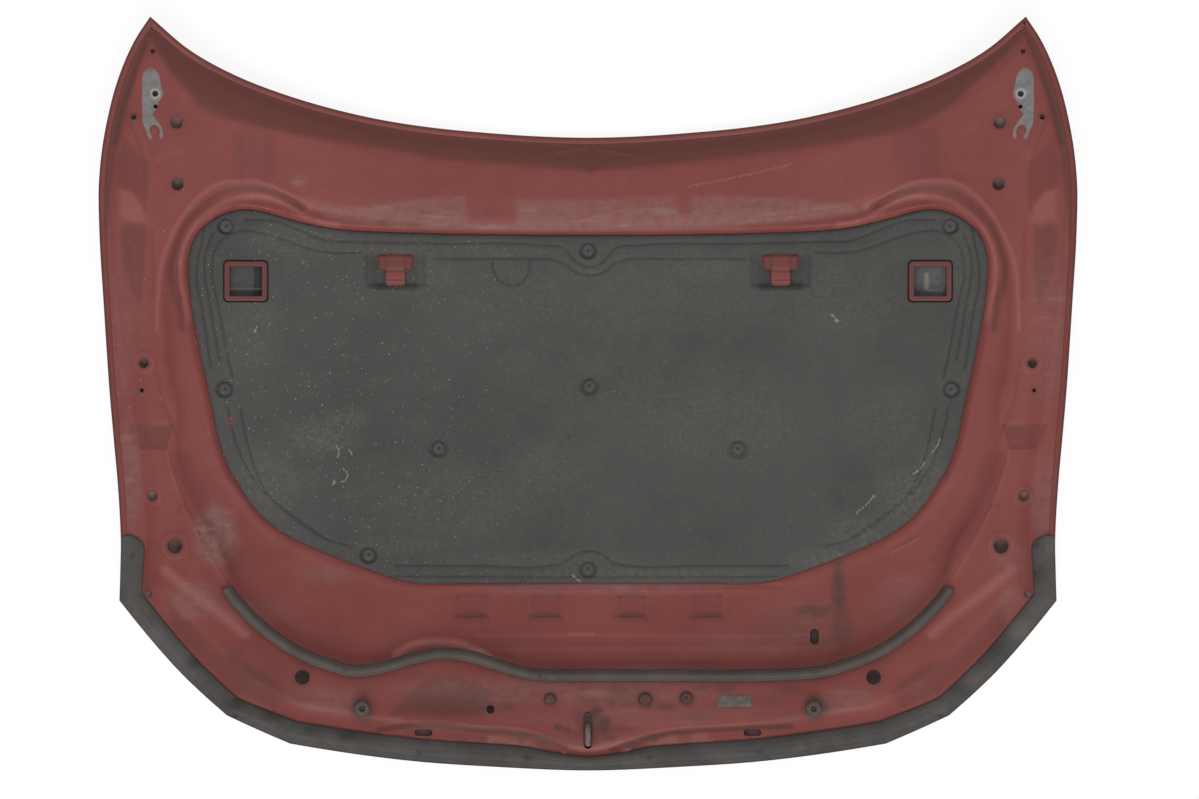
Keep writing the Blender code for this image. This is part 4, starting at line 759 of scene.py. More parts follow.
# Strokes: on both sides or not, half width in metres, tone, rise in metres, line
STROKES = (
    (True, 0.0060, 0.34, 0.0012, ((311.8, 207), (299.4, 201), (284.4, 192), (262, 182.4), (239.6, 180),
     (219.7, 183.6), (199.8, 197), (184.8, 214.7), (172.4, 237), (164.9, 254.5), (161.2, 274.4), (159.5, 294),
     (158.7, 309), (158.5, 329))),
    (True, 0.0085, -0.85, -0.0018, ((302, 207), (284, 197.5), (262, 190), (244.5, 189), (224.6, 193), (204.7, 206),
     (187.3, 224.7), (177.4, 247), (172.4, 269.4), (173.6, 284.4), (177.4, 299), (182, 328))),
    (True, 0.0075, 0.42, 0.0012, ((339, 225), (324, 223.4), (309, 218.5), (296.8, 209.8), (284.4, 202.3),
     (266.9, 196.5), (244.5, 197), (224.6, 202), (207.2, 214), (192.3, 230), (184, 247), (181, 264.5),
     (182, 279.4), (185.5, 299), (189, 319))),
    (True, 0.0040, -0.38, -0.0008, ((131, 122), (142, 148), (147, 163), (148, 186), (146, 211))),
    (True, 0.0065, -0.50, -0.0006, ((148, 43), (141, 62), (134, 80), (127, 98), (121, 118), (116, 142))),
    (True, 0.0045, -0.32, 0, ((153.5, 230), (153.5, 262), (154, 299))),
    (True, 0.0018, -0.38, -0.0003, ((104, 190), (105.8, 240), (105.8, 299), (110, 350), (117, 400), (119, 430))),
    (True, 0.0018, -0.34, -0.0003, ((112, 215), (113.7, 299), (117, 350), (121.4, 400), (123, 425))),
    (False, 0.0060, 0.06, 0.0001, ((153, 167), (167, 157), (182, 151), (216, 148), (232, 156))),
    (False, 0.0030, 0.55, 0.0006, ((559, 152), (572, 149.5), (586, 148))),
    (False, 0.0030, 0.40, 0.0006, ((597, 148), (612, 151), (634, 156))),
    (False, 0.0014, 0.50, 0, ((689, 186), (740, 176), (791, 164))),
    (True, 0.0040, 0.16, 0.0012, ((176, 424), (168, 449), (172, 470), (182, 499.5), (204, 545), (230, 590))),
    (True, 0.0055, -0.24, -0.0012, ((160, 375), (163, 400), (172, 420), (176, 432))),
    (True, 0.0014, -0.45, 0, ((179.5, 505.5), (184.5, 506), (187, 511), (184.5, 515.5), (179.5, 516), (179, 511),
     (179.5, 505.5))),
    (False, 0.0022, -0.35, 0.0004, ((892.8, 551), (904, 545), (917, 537.5))),
    (False, 0.0018, 0.30, 0.0004, ((893.5, 553.5), (905, 547.5), (918, 540))),
    (True, 0.0125, 0.50, 0, ((166, 570), (190, 590), (221, 613), (246, 634))),
    (False, 0.0016, -0.45, 0, ((338, 682), (358, 683), (377, 683.7))),
    (False, 0.0080, 0.90, 0.0003, ((396, 654), (414, 645), (438, 642), (463, 644.5), (482, 652), (497, 663),
     (508, 671))),
    (False, 0.0050, 0.30, 0, ((556, 742), (574, 747), (590, 748.5), (606, 747), (622, 741))),
    (False, 0.0030, 0.45, 0, ((570, 635), (582, 634.6), (594, 635))),
    (False, 0.0045, 0.14, 0.0007, ((480, 636.5), (589, 636.0), (700, 636.5), (790, 636.0), (822, 633))),
    (False, 0.0045, 0.10, 0.0007, ((470, 649.5), (589, 648.5), (700, 648.5), (800, 648.0), (835, 645))),
    (False, 0.0028, -0.45, -0.0003, ((515, 668), (589, 668.4), (700, 668.4), (770, 668), (815, 664))),
    (False, 0.0055, 0.26, 0, ((521, 586), (600, 586.5), (700, 586.5), (780, 585))),
    (False, 0.0026, -0.30, 0, ((433, 602), (455, 597), (483, 593), (521, 590), (600, 590.5), (700, 590.5),
     (786, 589))),
    (False, 0.0018, -0.55, 0, ((465, 583), (500, 583.6), (547, 583.6))),
    (False, 0.0026, 0.06, 0.0006, ((380, 725.5), (398, 722), (420, 719), (446, 720), (477, 724), (513, 726),
     (539, 731), (557, 739), (575, 745), (590, 748), (610, 745), (632, 737), (654, 731), (681, 726), (716, 724),
     (756, 722), (790, 721))),
    (False, 0.0066, -1.40, -0.0006, ((380, 730.5), (398, 726.7), (420, 724), (446, 725), (477, 729), (513, 731),
     (539, 736), (553, 741), (566, 746))),
    (False, 0.0066, -1.40, -0.0006, ((612, 749), (632, 742), (654, 736), (681, 731), (716, 729), (756, 727),
     (790, 726))),
)
SHEET_WAVES = ((11.0, 5.0, 0.3), (4.0, 13.0, 1.9), (17.0, 9.0, 2.7), (7.0, 21.0, 0.8))
WAVE_HEIGHT = 0.00010


def shape_share(places, pixels, edge):
    """One inside an outline drawn in pixels, falling to nothing over its edge."""
    loop = spots(pixels)
    distance = distance_to(places, closed(loop))
    return smooth(0.5 + np.where(inside(places, loop), 1, -1) * distance / edge / 2)


def forms_at(places):
    """Tone, which is painted shade and highlight, and rise of all areas and strokes, and the painted shade at the
    stamped boxes.
    """
    tone, rise = np.zeros(len(places)), np.zeros(len(places))
    for both, edge, darker, height, pixels in AREAS:
        for flip in MIRRORS[:1 + both]:
            share = shape_share(places * flip, pixels, edge)
            tone += darker * share
            rise += height * share
    for both, width, darker, height, pixels in STROKES:
        line = curved(pixels)
        for flip in MIRRORS[:1 + both]:
            share = bump(distance_to(places * flip, line) / width)
            tone += darker * share
            rise += height * share
    for left, right in STAMPED_BOXES:
        top, bottom = STAMPED_ROWS
        # Painted shade along each stamped box's top and bottom edges and over its floor
        tone -= 0.95 * line_share(places, ((left + 1, top + 0.4), (right - 1, top + 0.4)), 0.0032)
        tone -= 0.85 * line_share(places, ((left - 2, bottom - 1.5), (right + 1, bottom - 1.5)), 0.0055)
        fill = ((left, top), (right, top), (right, bottom), (left, bottom))
        tone -= 0.12 * shape_share(places, fill, 0.0020)
    return tone, rise


def frame_relief(places, rise):
    """Height of the pressing's local shapes above its plain section."""
    x, y = places[:, 0], places[:, 1]
    dish = np.hypot((x - DISH_CENTRE[0]) / DISH_HALF[0], (y - DISH_CENTRE[1]) / DISH_HALF[1])
    height = rise - DISH_DEPTH * bump(np.minimum(dish, 1))
    height -= STAMPED_DEPTH * stamped_boxes(places)
    for _, hole_x, hole_y, _, emboss in ROUND_HOLES:
        if emboss:
            for side in (-1, 1):
                away = np.hypot(x - side * hole_x * MM, y - hole_y * MM)
                height += EMBOSS_HEIGHT * smooth((emboss - away) / EMBOSS_BEVEL)
    left, peak, right = spots(CENTRE_BUMP)
    width = (right[0] - left[0]) / 2
    height += 0.0016 * bump((x - peak[0]) / width) * bump((y - peak[1] + 0.014) / 0.022)
    for shield in SHIELDS:
        away = np.linalg.norm((places - spot(*shield)) / (0.010, 0.014), axis=1)
        height += 0.0008 * smooth((1 - away) * 3)
    for button_x, button_y in HINGE_BUTTONS:
        away = np.linalg.norm(places - (button_x, button_y), axis=1)
        height += 0.0011 * smooth((0.0072 - away) / 0.0020)
    for pitch_x, pitch_y, phase in SHEET_WAVES:
        height += WAVE_HEIGHT * np.sin(x * pitch_x + y * pitch_y + phase)
    return height


def frame_z(places, rise=None):
    heights = tree_z(FRAME_TREE, places)
    floor = skin_z(places[:, 0], places[:, 1]) + FOLD_RISE
    heights = np.where(np.isnan(heights), floor, heights)
    if rise is None:
        rise = forms_at(places)[1]
    return np.maximum(heights + frame_relief(places, rise), floor)


def frame_holes():
    """Loops of the frame's holes, and rings of points round them."""
    loops, rings = [], []
    rounds = [(side * x, y, radius, emboss) for _, x, y, radius, emboss in ROUND_HOLES for side in (-1, 1)]
    rounds += [(x, y, radius, 0) for x, y, radius in SINGLE_HOLES + PLUG_HOLES]
    rounds += [(side * x, y, radius, 0) for x, y, radius in HINGE_HOLES for side in (-1, 1)]
    for x, y, radius, emboss in rounds:
        centre = (x * MM, y * MM)
        loops.append(ring_points(centre, radius))
        for more in (0.0011, 0.0030):
            rings.append(ring_points(centre, radius + more, 0.0018 + more * 0.4))
        if emboss:
            for less in (EMBOSS_BEVEL, EMBOSS_BEVEL / 2, 0, -0.0015):
                rings.append(ring_points(centre, emboss - less, 0.0028))
    slots = [(side * FRONT_SLOT[0], *FRONT_SLOT[1:]) for side in (-1, 1)] + [PROP_SLOT, STRIKER_SLOT]
    for x, y, width, length in slots:
        loops.append(dense_loop(slot_loop((x * MM, y * MM), width, length), 0.002))
        for more in (0.0012, 0.0034):
            rings.append(dense_loop(slot_loop((x * MM, y * MM), width + 2 * more, length + 2 * more), 0.003))
    return loops, rings


def shape_points():
    """Points that follow the pressing's local shapes, so that their edges are crisp."""
    points = []
    for both, width, _, _, pixels in STROKES:
        line = curved(pixels, 0.0030)
        offsets = np.array((-1, -0.5, 0, 0.5, 1)) * width
        for flip in MIRRORS[:1 + both]:
            points.append(beside(line * flip, offsets))
    for both, edge, _, _, pixels in AREAS:
        loop = spots(pixels)
        for flip in MIRRORS[:1 + both]:
            if edge < 0.0035:
                line = dense_line(closed(loop), 0.0025) * flip
                points.append(beside(line, np.array((-1, -0.4, 0.4, 1)) * edge))
    for side in (-1, 1):
        primer = primer_outline(side)
        points.append(beside(dense_line(closed(primer), 0.0012), (-0.0008, 0.0008)))
    for left, right in STAMPED_BOXES:
        low, high = spot(left, STAMPED_ROWS[1]), spot(right, STAMPED_ROWS[0])
        for less in (-0.0008, 0.0008, 0.0024, 0.0036):
            width, length = high - low - 2 * less
            points.append(box_loop((low + high) / 2, width, length, 0.003, 4, 0.0025))
    for button in HINGE_BUTTONS:
        for radius in (0.0030, 0.0054, 0.0066, 0.0076):
            points.append(ring_points(button, radius, 0.0015))
    for x, y, _ in HINGE_HOLES[:1]:
        for side in (-1, 1):
            for radius in (0.0062, 0.0078, 0.0088):
                points.append(ring_points((side * x * MM, y * MM), radius, 0.0014))
    for share in np.linspace(0.12, 1.0, 12):
        angle = 2 * math.pi * np.arange(int(20 + 60 * share)) / int(20 + 60 * share)
        circle = np.column_stack([np.cos(angle) * DISH_HALF[0], np.sin(angle) * DISH_HALF[1]]) * share
        points.append(circle + DISH_CENTRE)
    for (left, top), (right, bottom), gap in FINE_ZONES:
        low, high = spot(left, bottom), spot(right, top)
        points.append(grid(low, high, gap))
    return np.vstack(points)


# Bare primer where a hinge was bolted: the left one's outline in pixels
PRIMER = (
    (143.8, 79), (145, 74), (149, 69), (153, 68.5), (157, 71.5), (160, 75.3), (161.5, 82), (162.8, 89),
    (164.2, 93.5), (163, 98.5), (158.9, 104), (158.9, 107.5), (156.6, 111.5), (153.3, 114.9), (155.8, 118.5),
    (160, 124), (163.4, 130), (164.4, 135), (162.7, 140), (160.6, 138), (161.2, 133), (159.4, 127.6),
    (155.8, 125.6), (151.8, 127.5), (150.6, 131.3), (151.8, 135.2), (153.5, 138.5), (151.6, 140.4),
    (148.9, 136), (147.6, 131), (144.2, 124.5), (143.4, 100),
)
PRIMER_TOP = 65.0
PRIMER_FADE = 10.0
HINGE_BUTTONS = ((-0.6490, 0.3935), (0.6490, 0.3935))


def primer_outline(side):
    return spots(PRIMER) * (-side, 1)


def primer_share(places):
    """One on the bare primer, with the top end fading out."""
    share = np.zeros(len(places))
    fade = smooth((spot(0, PRIMER_TOP)[1] - places[:, 1]) / (PRIMER_FADE * PHOTO_SCALE))
    for side in (-1, 1):
        loop = primer_outline(side)
        distance = distance_to(places, closed(loop))
        share += smooth(0.5 + np.where(inside(places, loop), 1, -1) * distance / 0.0016) * fade
    return share


# Zones in pixels whose wear, dirt and painted shade need closer points: top left, bottom right, distance in metres
FINE_ZONES = (
    ((566, 706), (634, 744), 0.0022), ((186, 500), (244, 572), 0.0026), ((335, 700), (395, 722), 0.0028),
    ((797, 694), (834, 722), 0.0028), ((285, 655), (330, 700), 0.0034), ((850, 655), (900, 700), 0.0034),
)


# Least distances between the points of the pressing: beside fixed ones, among local shapes, elsewhere
FIXED_GAP = 0.0022
SHAPE_GAP = 0.0016
BODY_GAP = 0.0030


def build_frame(material):
    loops, rings = frame_holes()
    collars = [box_loop(centre, *COLLAR_SIZE, COLLAR_CORNER, 6, 0.004) for centre in COLLARS]
    around = COLLAR_SIZE + COLLAR_ROUND
    rings += [box_loop(collar.mean(0), *around, COLLAR_ROUND) for collar in collars]
    features = np.vstack(rings)
    shapes = shape_points()
    fixed = np.vstack([features] + loops + collars)
    shapes = thinned(clear_of(shapes, fixed, FIXED_GAP), SHAPE_GAP)
    body = clear_of(SHEET_PLAN[1:].reshape(-1, 2), np.vstack([fixed, shapes]), BODY_GAP)
    places = np.vstack([features, shapes, body])
    for loop in loops + collars:
        places = places[~inside(places, loop)]
    outline = SHEET_PLAN[0]
    places = places[inside(places, outline)]
    plan, triangles, numbers = triangulate(outline, loops + collars, places)
    tone, rise = forms_at(plan)
    z = frame_z(plan, rise)
    sheet = Sheet(np.column_stack([plan, z]), triangles, frame_values(plan, tone))
    for loop in numbers[1:1 + len(loops)]:
        sheet.walls(loop, HOLE_EDGE, darken=HOLE_SHADE)
    for loop in numbers[1 + len(loops):]:
        level_collar(sheet, loop)
    for centre in HOOKS:
        sheet.merge(hook(centre))
    return sheet.piece("frame_pressing", ("inner_frame",), "red_paint", material)


def thinned(places, gap):
    """The places without those that fall in a cell that is already taken."""
    cells = np.unique(np.floor(places / gap).astype(int), axis=0, return_index=True)[1]
    return places[np.sort(cells)]


def plane_at(places):
    """A plane through a loop of points: its height for any place."""
    flat = np.column_stack([places[:, :2], np.ones(len(places))])
    factors = np.linalg.lstsq(flat, places[:, 2], rcond=None)[0]
    return lambda spots_in_plan: np.asarray(spots_in_plan) @ factors[:2] + factors[2]


def level_collar(sheet, loop):
    """The collar: up from the tray, a flat rim, and a lip turned down inside."""
    height = plane_at(sheet.points[loop])
    foot = sheet.points[loop].copy()
    last = loop
    anticlockwise = turning(foot[:, :2]) > 0
    for shrink, drop in COLLAR_STEPS:
        ring = inset(foot[:, :2], (-1 if anticlockwise else 1) * shrink)
        new = sheet.grow(np.column_stack([ring, height(ring) - drop]), loop)
        sheet.join(last, new, anticlockwise is False)
        sheet.values["edge"][new] = COLLAR_DIRT_AND_SHADE.get(shrink, 0.45)
        last = new


HOOKS = both_sides(290, 198)
HOOK_BAR = (0.0545, 0.0235)
HOOK_TONGUE = (0.0280, 0.0250)
HOOK_HEIGHT = 0.0115
HOOK_THICKNESS = 0.0016


def hook(centre):
    """T-shaped tab: a bar of three blocks, and a tongue with a turned-down tip."""
    half_bar, half_deep = HOOK_BAR[0] / 2, HOOK_BAR[1] / 2
    half_tongue = HOOK_TONGUE[0] / 2
    tip = half_deep + HOOK_TONGUE[1]
    outline = []
    corners = ((half_bar, half_deep, 0.0055), (half_bar, -half_deep, 0.0055), (half_tongue, -half_deep, 0.0015),
               (half_tongue, -tip, 0.0050))
    for x, y, radius in corners:
        turn_in = x == half_tongue and y == -half_deep
        for step in range(6):
            angle = math.pi / 2 * step / 5
            if turn_in:
                outline.append((x + radius * (1 - math.sin(angle)), y - radius * (1 - math.cos(angle))))
            elif y > 0:
                outline.append((x - radius * (1 - math.sin(angle)), y - radius * (1 - math.cos(angle))))
            else:
                outline.append((x - radius * (1 - math.cos(angle)), y + radius * (1 - math.sin(angle))))
    outline = np.array(outline)
    outline = np.vstack([outline, outline[::-1] * (-1, 1)])
    outline = dense_loop(without_repeats(outline), 0.0015)
    corners_on_tray = centre + np.array([(-0.03, -0.03), (0.03, -0.03), (0.03, 0.02), (-0.03, 0.02)])
    tray = plane_at(np.column_stack([corners_on_tray, tree_z(FRAME_TREE, corners_on_tray)]))

    def height(places):
        x, y = (places - centre).T
        ear = smooth((np.abs(x) - half_tongue + 0.0010) / 0.0026) * (y > -half_deep - 0.001)
        seam = bump((np.abs(x) - half_tongue) / 0.0016) * (y > -half_deep - 0.001)
        rear = smooth((y - half_deep + 0.0075) / 0.0075)
        front = smooth((-half_deep + 0.0035 - y) / 0.0035)
        ends = smooth((np.abs(x) - half_bar + 0.0060) / 0.0060)
        fold = smooth((-tip + 0.0085 - y) / 0.0085)
        crease = bump((y + half_deep + 0.0018) / 0.0022) + bump((y + tip - 0.0095) / 0.0020)
        drop = (0.0019 * ear + 0.0010 * seam + 0.0034 * rear ** 2 + 0.0014 * front * (ear < 0.5) * 0.6
                + 0.0032 * ends ** 2 + 0.0035 * fold ** 2 + 0.0010 * crease)
        return tray(places) + HOOK_HEIGHT - drop

    sheet = patch(outline + centre, 0.0011, height, HOOK_THICKNESS, ("shade", "hook", "tone"))
    x, y = (sheet.points[:, :2] - centre).T
    seams = bump((np.abs(x) - half_tongue) / 0.0014) * (y > -half_deep)
    creases = bump((y + half_deep + 0.0016) / 0.0018) + bump((y + tip - 0.0095) / 0.0016)
    sheet.values["shade"] = np.clip(seams + creases, 0, 1) * 0.75
    sheet.values["hook"] = np.ones(len(sheet.points))
    ears = smooth((np.abs(x) - half_tongue) / 0.002) * (y > -half_deep)
    tip_share = smooth((-half_deep - y) / 0.012)
    # Painted shade: darkest on the bar and the ears, least at the tongue's tip
    sheet.values["tone"] = -0.15 * tip_share - 0.60 * ears - 0.80 * (1 - tip_share)
    return sheet


def rows_at(places):
    """Which row of the frame's sheet lies under each place."""
    down = Vector((0, 0, -1))
    count = SHEET_PLAN.shape[1]
    rows = np.zeros(len(places))
    for index, (x, y) in enumerate(places):
        hit = FRAME_TREE.ray_cast(Vector((x, y, 1)), down)
        rows[index] = min(hit[2] // count, len(SHEET_PLAN) - 1) if hit[2] is not None else 0
    return rows


def blob(places, u, v, reach_u, reach_v):
    """One at a pixel of the photograph, falling to nothing at its reach in pixels."""
    away = (places - spot(u, v)) / (reach_u * PHOTO_SCALE, reach_v * PHOTO_SCALE)
    return smooth(1.4 - 1.4 * np.linalg.norm(away, axis=1))


def blobs(places, table):
    total = np.zeros(len(places))
    for u, v, reach_u, reach_v, strength in table:
        total = np.maximum(total, strength * blob(places, u, v, reach_u, reach_v))
    return total


# Wear, dirt and painted shade, as places and reaches in pixels with a strength. The grime table is grease and dirt,
# with painted shade along the step below the front crest.
DUST = (
    (300, 181, 12, 10, 0.8), (195, 600, 30, 26, 0.8), (128, 480, 20, 80, 0.75), (118, 330, 34, 110, 0.35),
    (325, 575, 40, 12, 0.5), (600, 590, 190, 8, 0.6), (750, 645, 90, 18, 0.3), (1052, 330, 34, 110, 0.45),
    (1048, 500, 22, 70, 0.6), (1010, 560, 26, 40, 0.35), (560, 690, 240, 22, 0.62), (640, 716, 190, 14, 0.35),
    (845, 700, 40, 18, 0.6), (330, 700, 50, 22, 0.5), (905, 600, 44, 40, 0.35), (1012, 606, 20, 26, 0.4),
    (250, 612, 60, 20, 0.35), (590, 742, 220, 10, 0.45), (700, 690, 60, 14, 0.4), (508, 694, 24, 10, 0.5),
    (640, 672, 90, 10, 0.4), (800, 620, 60, 30, 0.25),
)
DUST_AREAS = (
    (0.0042, 0.80, ((312, 205), (345, 208), (380, 204), (424, 198), (466, 196), (468, 222), (516, 224), (517, 202),
     (592, 200), (676, 197), (681, 214), (690, 214), (693, 196), (734, 196), (800, 200), (850, 205), (862, 213),
     (800, 222), (700, 228), (589, 231), (480, 230), (380, 226), (330, 219))),
    (0.0120, 1.00, ((196, 522), (212, 504), (232, 514), (238, 542), (224, 566), (200, 560))),
)
GRIME_AND_SHADE = (
    (618, 690, 16, 9, 0.45), (612, 702, 9, 8, 0.6), (610, 736, 10, 5, 0.7), (583, 722, 6, 16, 0.5),
    (545, 740, 18, 5, 0.55), (520, 735, 18, 5, 0.5), (490, 731, 20, 4, 0.45), (632, 744, 14, 5, 0.55),
    (655, 737, 17, 5, 0.55), (685, 732, 20, 4, 0.45), (440, 727, 44, 4, 0.4), (725, 676, 90, 5, 0.5),
    (790, 690, 24, 9, 0.4), (772, 701, 20, 9, 0.4), (700, 688, 16, 5, 0.4),
    (840, 590, 11, 46, 0.85), (842, 630, 16, 34, 0.6), (818, 612, 34, 9, 0.8), (826, 640, 40, 20, 0.3),
    (780, 630, 50, 26, 0.25), (470, 702, 70, 24, 0.28), (680, 676, 60, 7, 0.35),
    (597, 712, 10, 10, 0.9), (605, 724, 10, 14, 0.95), (578, 716, 8, 12, 0.4), (630, 700, 18, 12, 0.3),
    (420, 676, 40, 6, 0.3), (300, 697, 30, 8, 0.3), (378, 724, 30, 5, 0.35), (780, 716, 50, 8, 0.35),
    (860, 660, 40, 6, 0.35), (320, 662, 40, 6, 0.35),
    (592, 731, 12, 20, 0.55), (602, 722, 14, 12, 0.6), (620, 728, 20, 6, 0.5), (574, 734, 14, 8, 0.4),
    (364.5, 709.2, 19, 18, 0.9), (814.7, 707.3, 20, 19, 0.8), (255, 155, 26, 44, 0.25), (915, 152, 30, 44, 0.06),
    (492, 212, 20, 8, 0.3), (508, 706, 14, 7, 0.6), (667, 706, 14, 7, 0.6), (725, 689, 16, 7, 0.55),
    (303.9, 677.1, 15, 14, 0.6), (873.3, 676.7, 14, 13, 0.5), (647, 699, 14, 13, 0.6), (687, 698, 13, 12, 0.6),
    (551, 699, 13, 12, 0.5), (735, 701, 26, 11, 0.5), (558.5, 726, 5, 5, 1.0), (568.5, 728.5, 4.5, 4.5, 1.0),
    (760, 700, 20, 9, 0.35), (430, 700, 20, 8, 0.3), (590, 700, 16, 7, 0.35), (700, 716, 30, 8, 0.25),
    (700, 664, 40, 5, 0.25), (237, 655, 16, 10, 0.3), (118, 120, 8, 40, 0.3), (1060, 120, 8, 40, 0.3),
)
SCUFFS = (
    ((207, 520), (209, 534), (213, 545)), ((205, 537), (203, 545), (208, 552), (215, 550)),
    ((197, 560), (206, 556), (217, 560)), ((199, 530), (201, 541)), ((219, 516), (224, 528), (222, 538)),
    ((404, 216), (412, 207), (419, 202)), ((424, 214), (432, 205)), ((415, 219), (426, 219)),
)
PROP_DIRT = 0.0085


# Rows of the sheet between which the valley lies, and how much darker it is
VALLEY_START = 41
VALLEY_END = 64
VALLEY_SHADE = 0.12


def frame_values(places, tone):
    """How dark with painted shade, lit with painted highlight, dusty, dirty or scuffed each place of the pressing is.
    """
    x, y = places[:, 0], places[:, 1]
    rows = rows_at(places)
    valley = smooth((rows - VALLEY_START) / 6) * smooth((VALLEY_END - rows) / 5)
    shade = VALLEY_SHADE * valley
    grime_and_shade = blobs(places, GRIME_AND_SHADE)
    for _, hole_x, hole_y, radius, emboss in ROUND_HOLES:
        for side in (-1, 1):
            away = np.hypot(x - side * hole_x * MM, y - hole_y * MM)
            grime_and_shade = np.maximum(grime_and_shade, 0.5 * bump(np.clip((away - radius) / 0.0050, -1, 1)))
            if emboss:
                # Painted shade at the emboss's edge and painted highlight on its slope
                tone = tone - 0.30 * bump((away - emboss + 0.0004) / 0.0018)
                tone = tone + 0.16 * bump((away - emboss + 0.0034) / 0.0022)
    dust_and_highlight = blobs(places, DUST)
    for edge, strength, pixels in DUST_AREAS:
        dust_and_highlight = np.maximum(dust_and_highlight, strength * shape_share(places, pixels, edge))
    slot = np.linalg.norm((places - np.array(PROP_SLOT[:2]) * MM) / (1, 0.6), axis=1)
    dust_and_highlight = np.maximum(dust_and_highlight, bump((slot - PROP_DIRT) / 0.0034))
    primer = primer_share(places)
    for button in HINGE_BUTTONS:
        away = np.linalg.norm(places - button, axis=1)
        primer = np.minimum(primer, smooth((away - 0.0056) / 0.0012))
        # Painted shadow in a ring round each hinge button
        tone = tone - 0.5 * bump((away - 0.0068) / 0.0014)
    score = np.zeros(len(places))
    for side in (-1, 1):
        away = np.hypot(x - side * HINGE_HOLES[0][0] * MM, y - HINGE_HOLES[0][1] * MM)
        score = np.maximum(score, bump((away - 0.0064) / 0.0018))
    scuff = np.zeros(len(places))
    for line in SCUFFS:
        scuff = np.maximum(scuff, line_share(places, line, 0.0020))
    return {"shade": shade, "tone": tone, "dust_and_highlight": dust_and_highlight, "grime_and_shade": grime_and_shade, "scuff": scuff, "primer": primer,
            "score": score, "edge": np.zeros(len(places)), "hook": np.zeros(len(places))}


# Materials

def feed(tree, socket, value):
    if isinstance(value, bpy.types.NodeSocket):
        tree.links.new(value, socket)
    else:
        socket.default_value = value


def add_node(tree, kind, inputs=None, **settings):
    """A node whose inputs are set to values or linked to other nodes' outputs."""
    made = tree.nodes.new(kind)
    for label, value in settings.items():
        setattr(made, label, value)
    for label, value in (inputs or {}).items():
        feed(tree, made.inputs[label], value)
    return made


class Paint:
    """A material that is put together from noise, distances and the values at a mesh's points."""

    def __init__(self, name):
        self.item = bpy.data.materials.new(name)
        self.item.use_nodes = True
        self.tree = self.item.node_tree
        self.shader = self.tree.nodes["Principled BSDF"]
        self.place = self.add("ShaderNodeTexCoord").outputs["Object"]

    def add(self, kind, inputs=None, **settings):
        return add_node(self.tree, kind, inputs, **settings)

    def noise(self, scale, detail=3, roughness=0.55, stretch=None):
        place = self.place
        if stretch:
            place = self.add("ShaderNodeMapping", {"Vector": place, "Scale": stretch}).outputs["Vector"]
        inputs = {"Vector": place, "Scale": scale, "Detail": detail, "Roughness": roughness}
        return self.add("ShaderNodeTexNoise", inputs).outputs["Fac"]

    def value(self, label):
        return self.add("ShaderNodeAttribute", attribute_name=label).outputs["Fac"]

    def ramp(self, value, low, high, start=0.0, end=1.0):
        inputs = {"Value": value, "From Min": low, "From Max": high, "To Min": start, "To Max": end}
        return self.add("ShaderNodeMapRange", inputs, interpolation_type="SMOOTHSTEP").outputs["Result"]

    def share(self, label, strength=1.0, most=1.0):
        """A mesh value as a share for a mix. A negative strength takes the value's lower side."""
        scaled = self.maths("MULTIPLY", self.value(label), strength)
        return self.add("ShaderNodeClamp", {"Value": scaled, "Min": 0.0, "Max": most}).outputs[0]

    def maths(self, operation, first, second):
        return self.add("ShaderNodeMath", {0: first, 1: second}, operation=operation).outputs[0]

    def mix(self, share, first, second):
        return self.add("ShaderNodeMix", {0: share, 6: first, 7: second}, data_type="RGBA").outputs[2]

    def specks(self, scale, size, density, seed=0.0):
        """One in small round specks. Density is the share of the cells that hold one."""
        place = self.add("ShaderNodeVectorMath", {0: self.place, 1: (seed, seed * 2, 0)}, operation="ADD").outputs[0]
        cells = self.add("ShaderNodeTexVoronoi", {"Vector": place, "Scale": scale}, voronoi_dimensions="3D")
        near = self.ramp(cells.outputs["Distance"], size, size * 0.5)
        chosen = self.add("ShaderNodeSeparateColor", {"Color": cells.outputs["Color"]}).outputs["Red"]
        return self.maths("MULTIPLY", near, self.maths("LESS_THAN", chosen, density))

    def box(self, centre, half, edge=0.0008):
        """One inside a box in plan, given by its centre and its half sizes in metres."""
        share = None
        place = self.add("ShaderNodeSeparateXYZ", {"Vector": self.place})
        for axis in (0, 1):
            away = self.maths("SUBTRACT", place.outputs[axis], centre[axis])
            away = self.maths("ABSOLUTE", away, 0.0)
            inside_axis = self.ramp(away, half[axis] + edge, half[axis] - edge)
            share = inside_axis if share is None else self.maths("MULTIPLY", share, inside_axis)
        return share

    def finish(self, colour_socket, roughness, specular=0.2, height=None, depth=0.0005, metallic=0.0):
        inputs = {"Base Color": colour_socket, "Roughness": roughness, "Specular IOR Level": specular,
                  "Metallic": metallic}
        if height is not None:
            bumped = self.add("ShaderNodeBump", {"Height": height, "Strength": 1.0, "Distance": depth})
            inputs["Normal"] = bumped.outputs["Normal"]
        for label, value in inputs.items():
            feed(self.tree, self.shader.inputs[label], value)
        return self.item


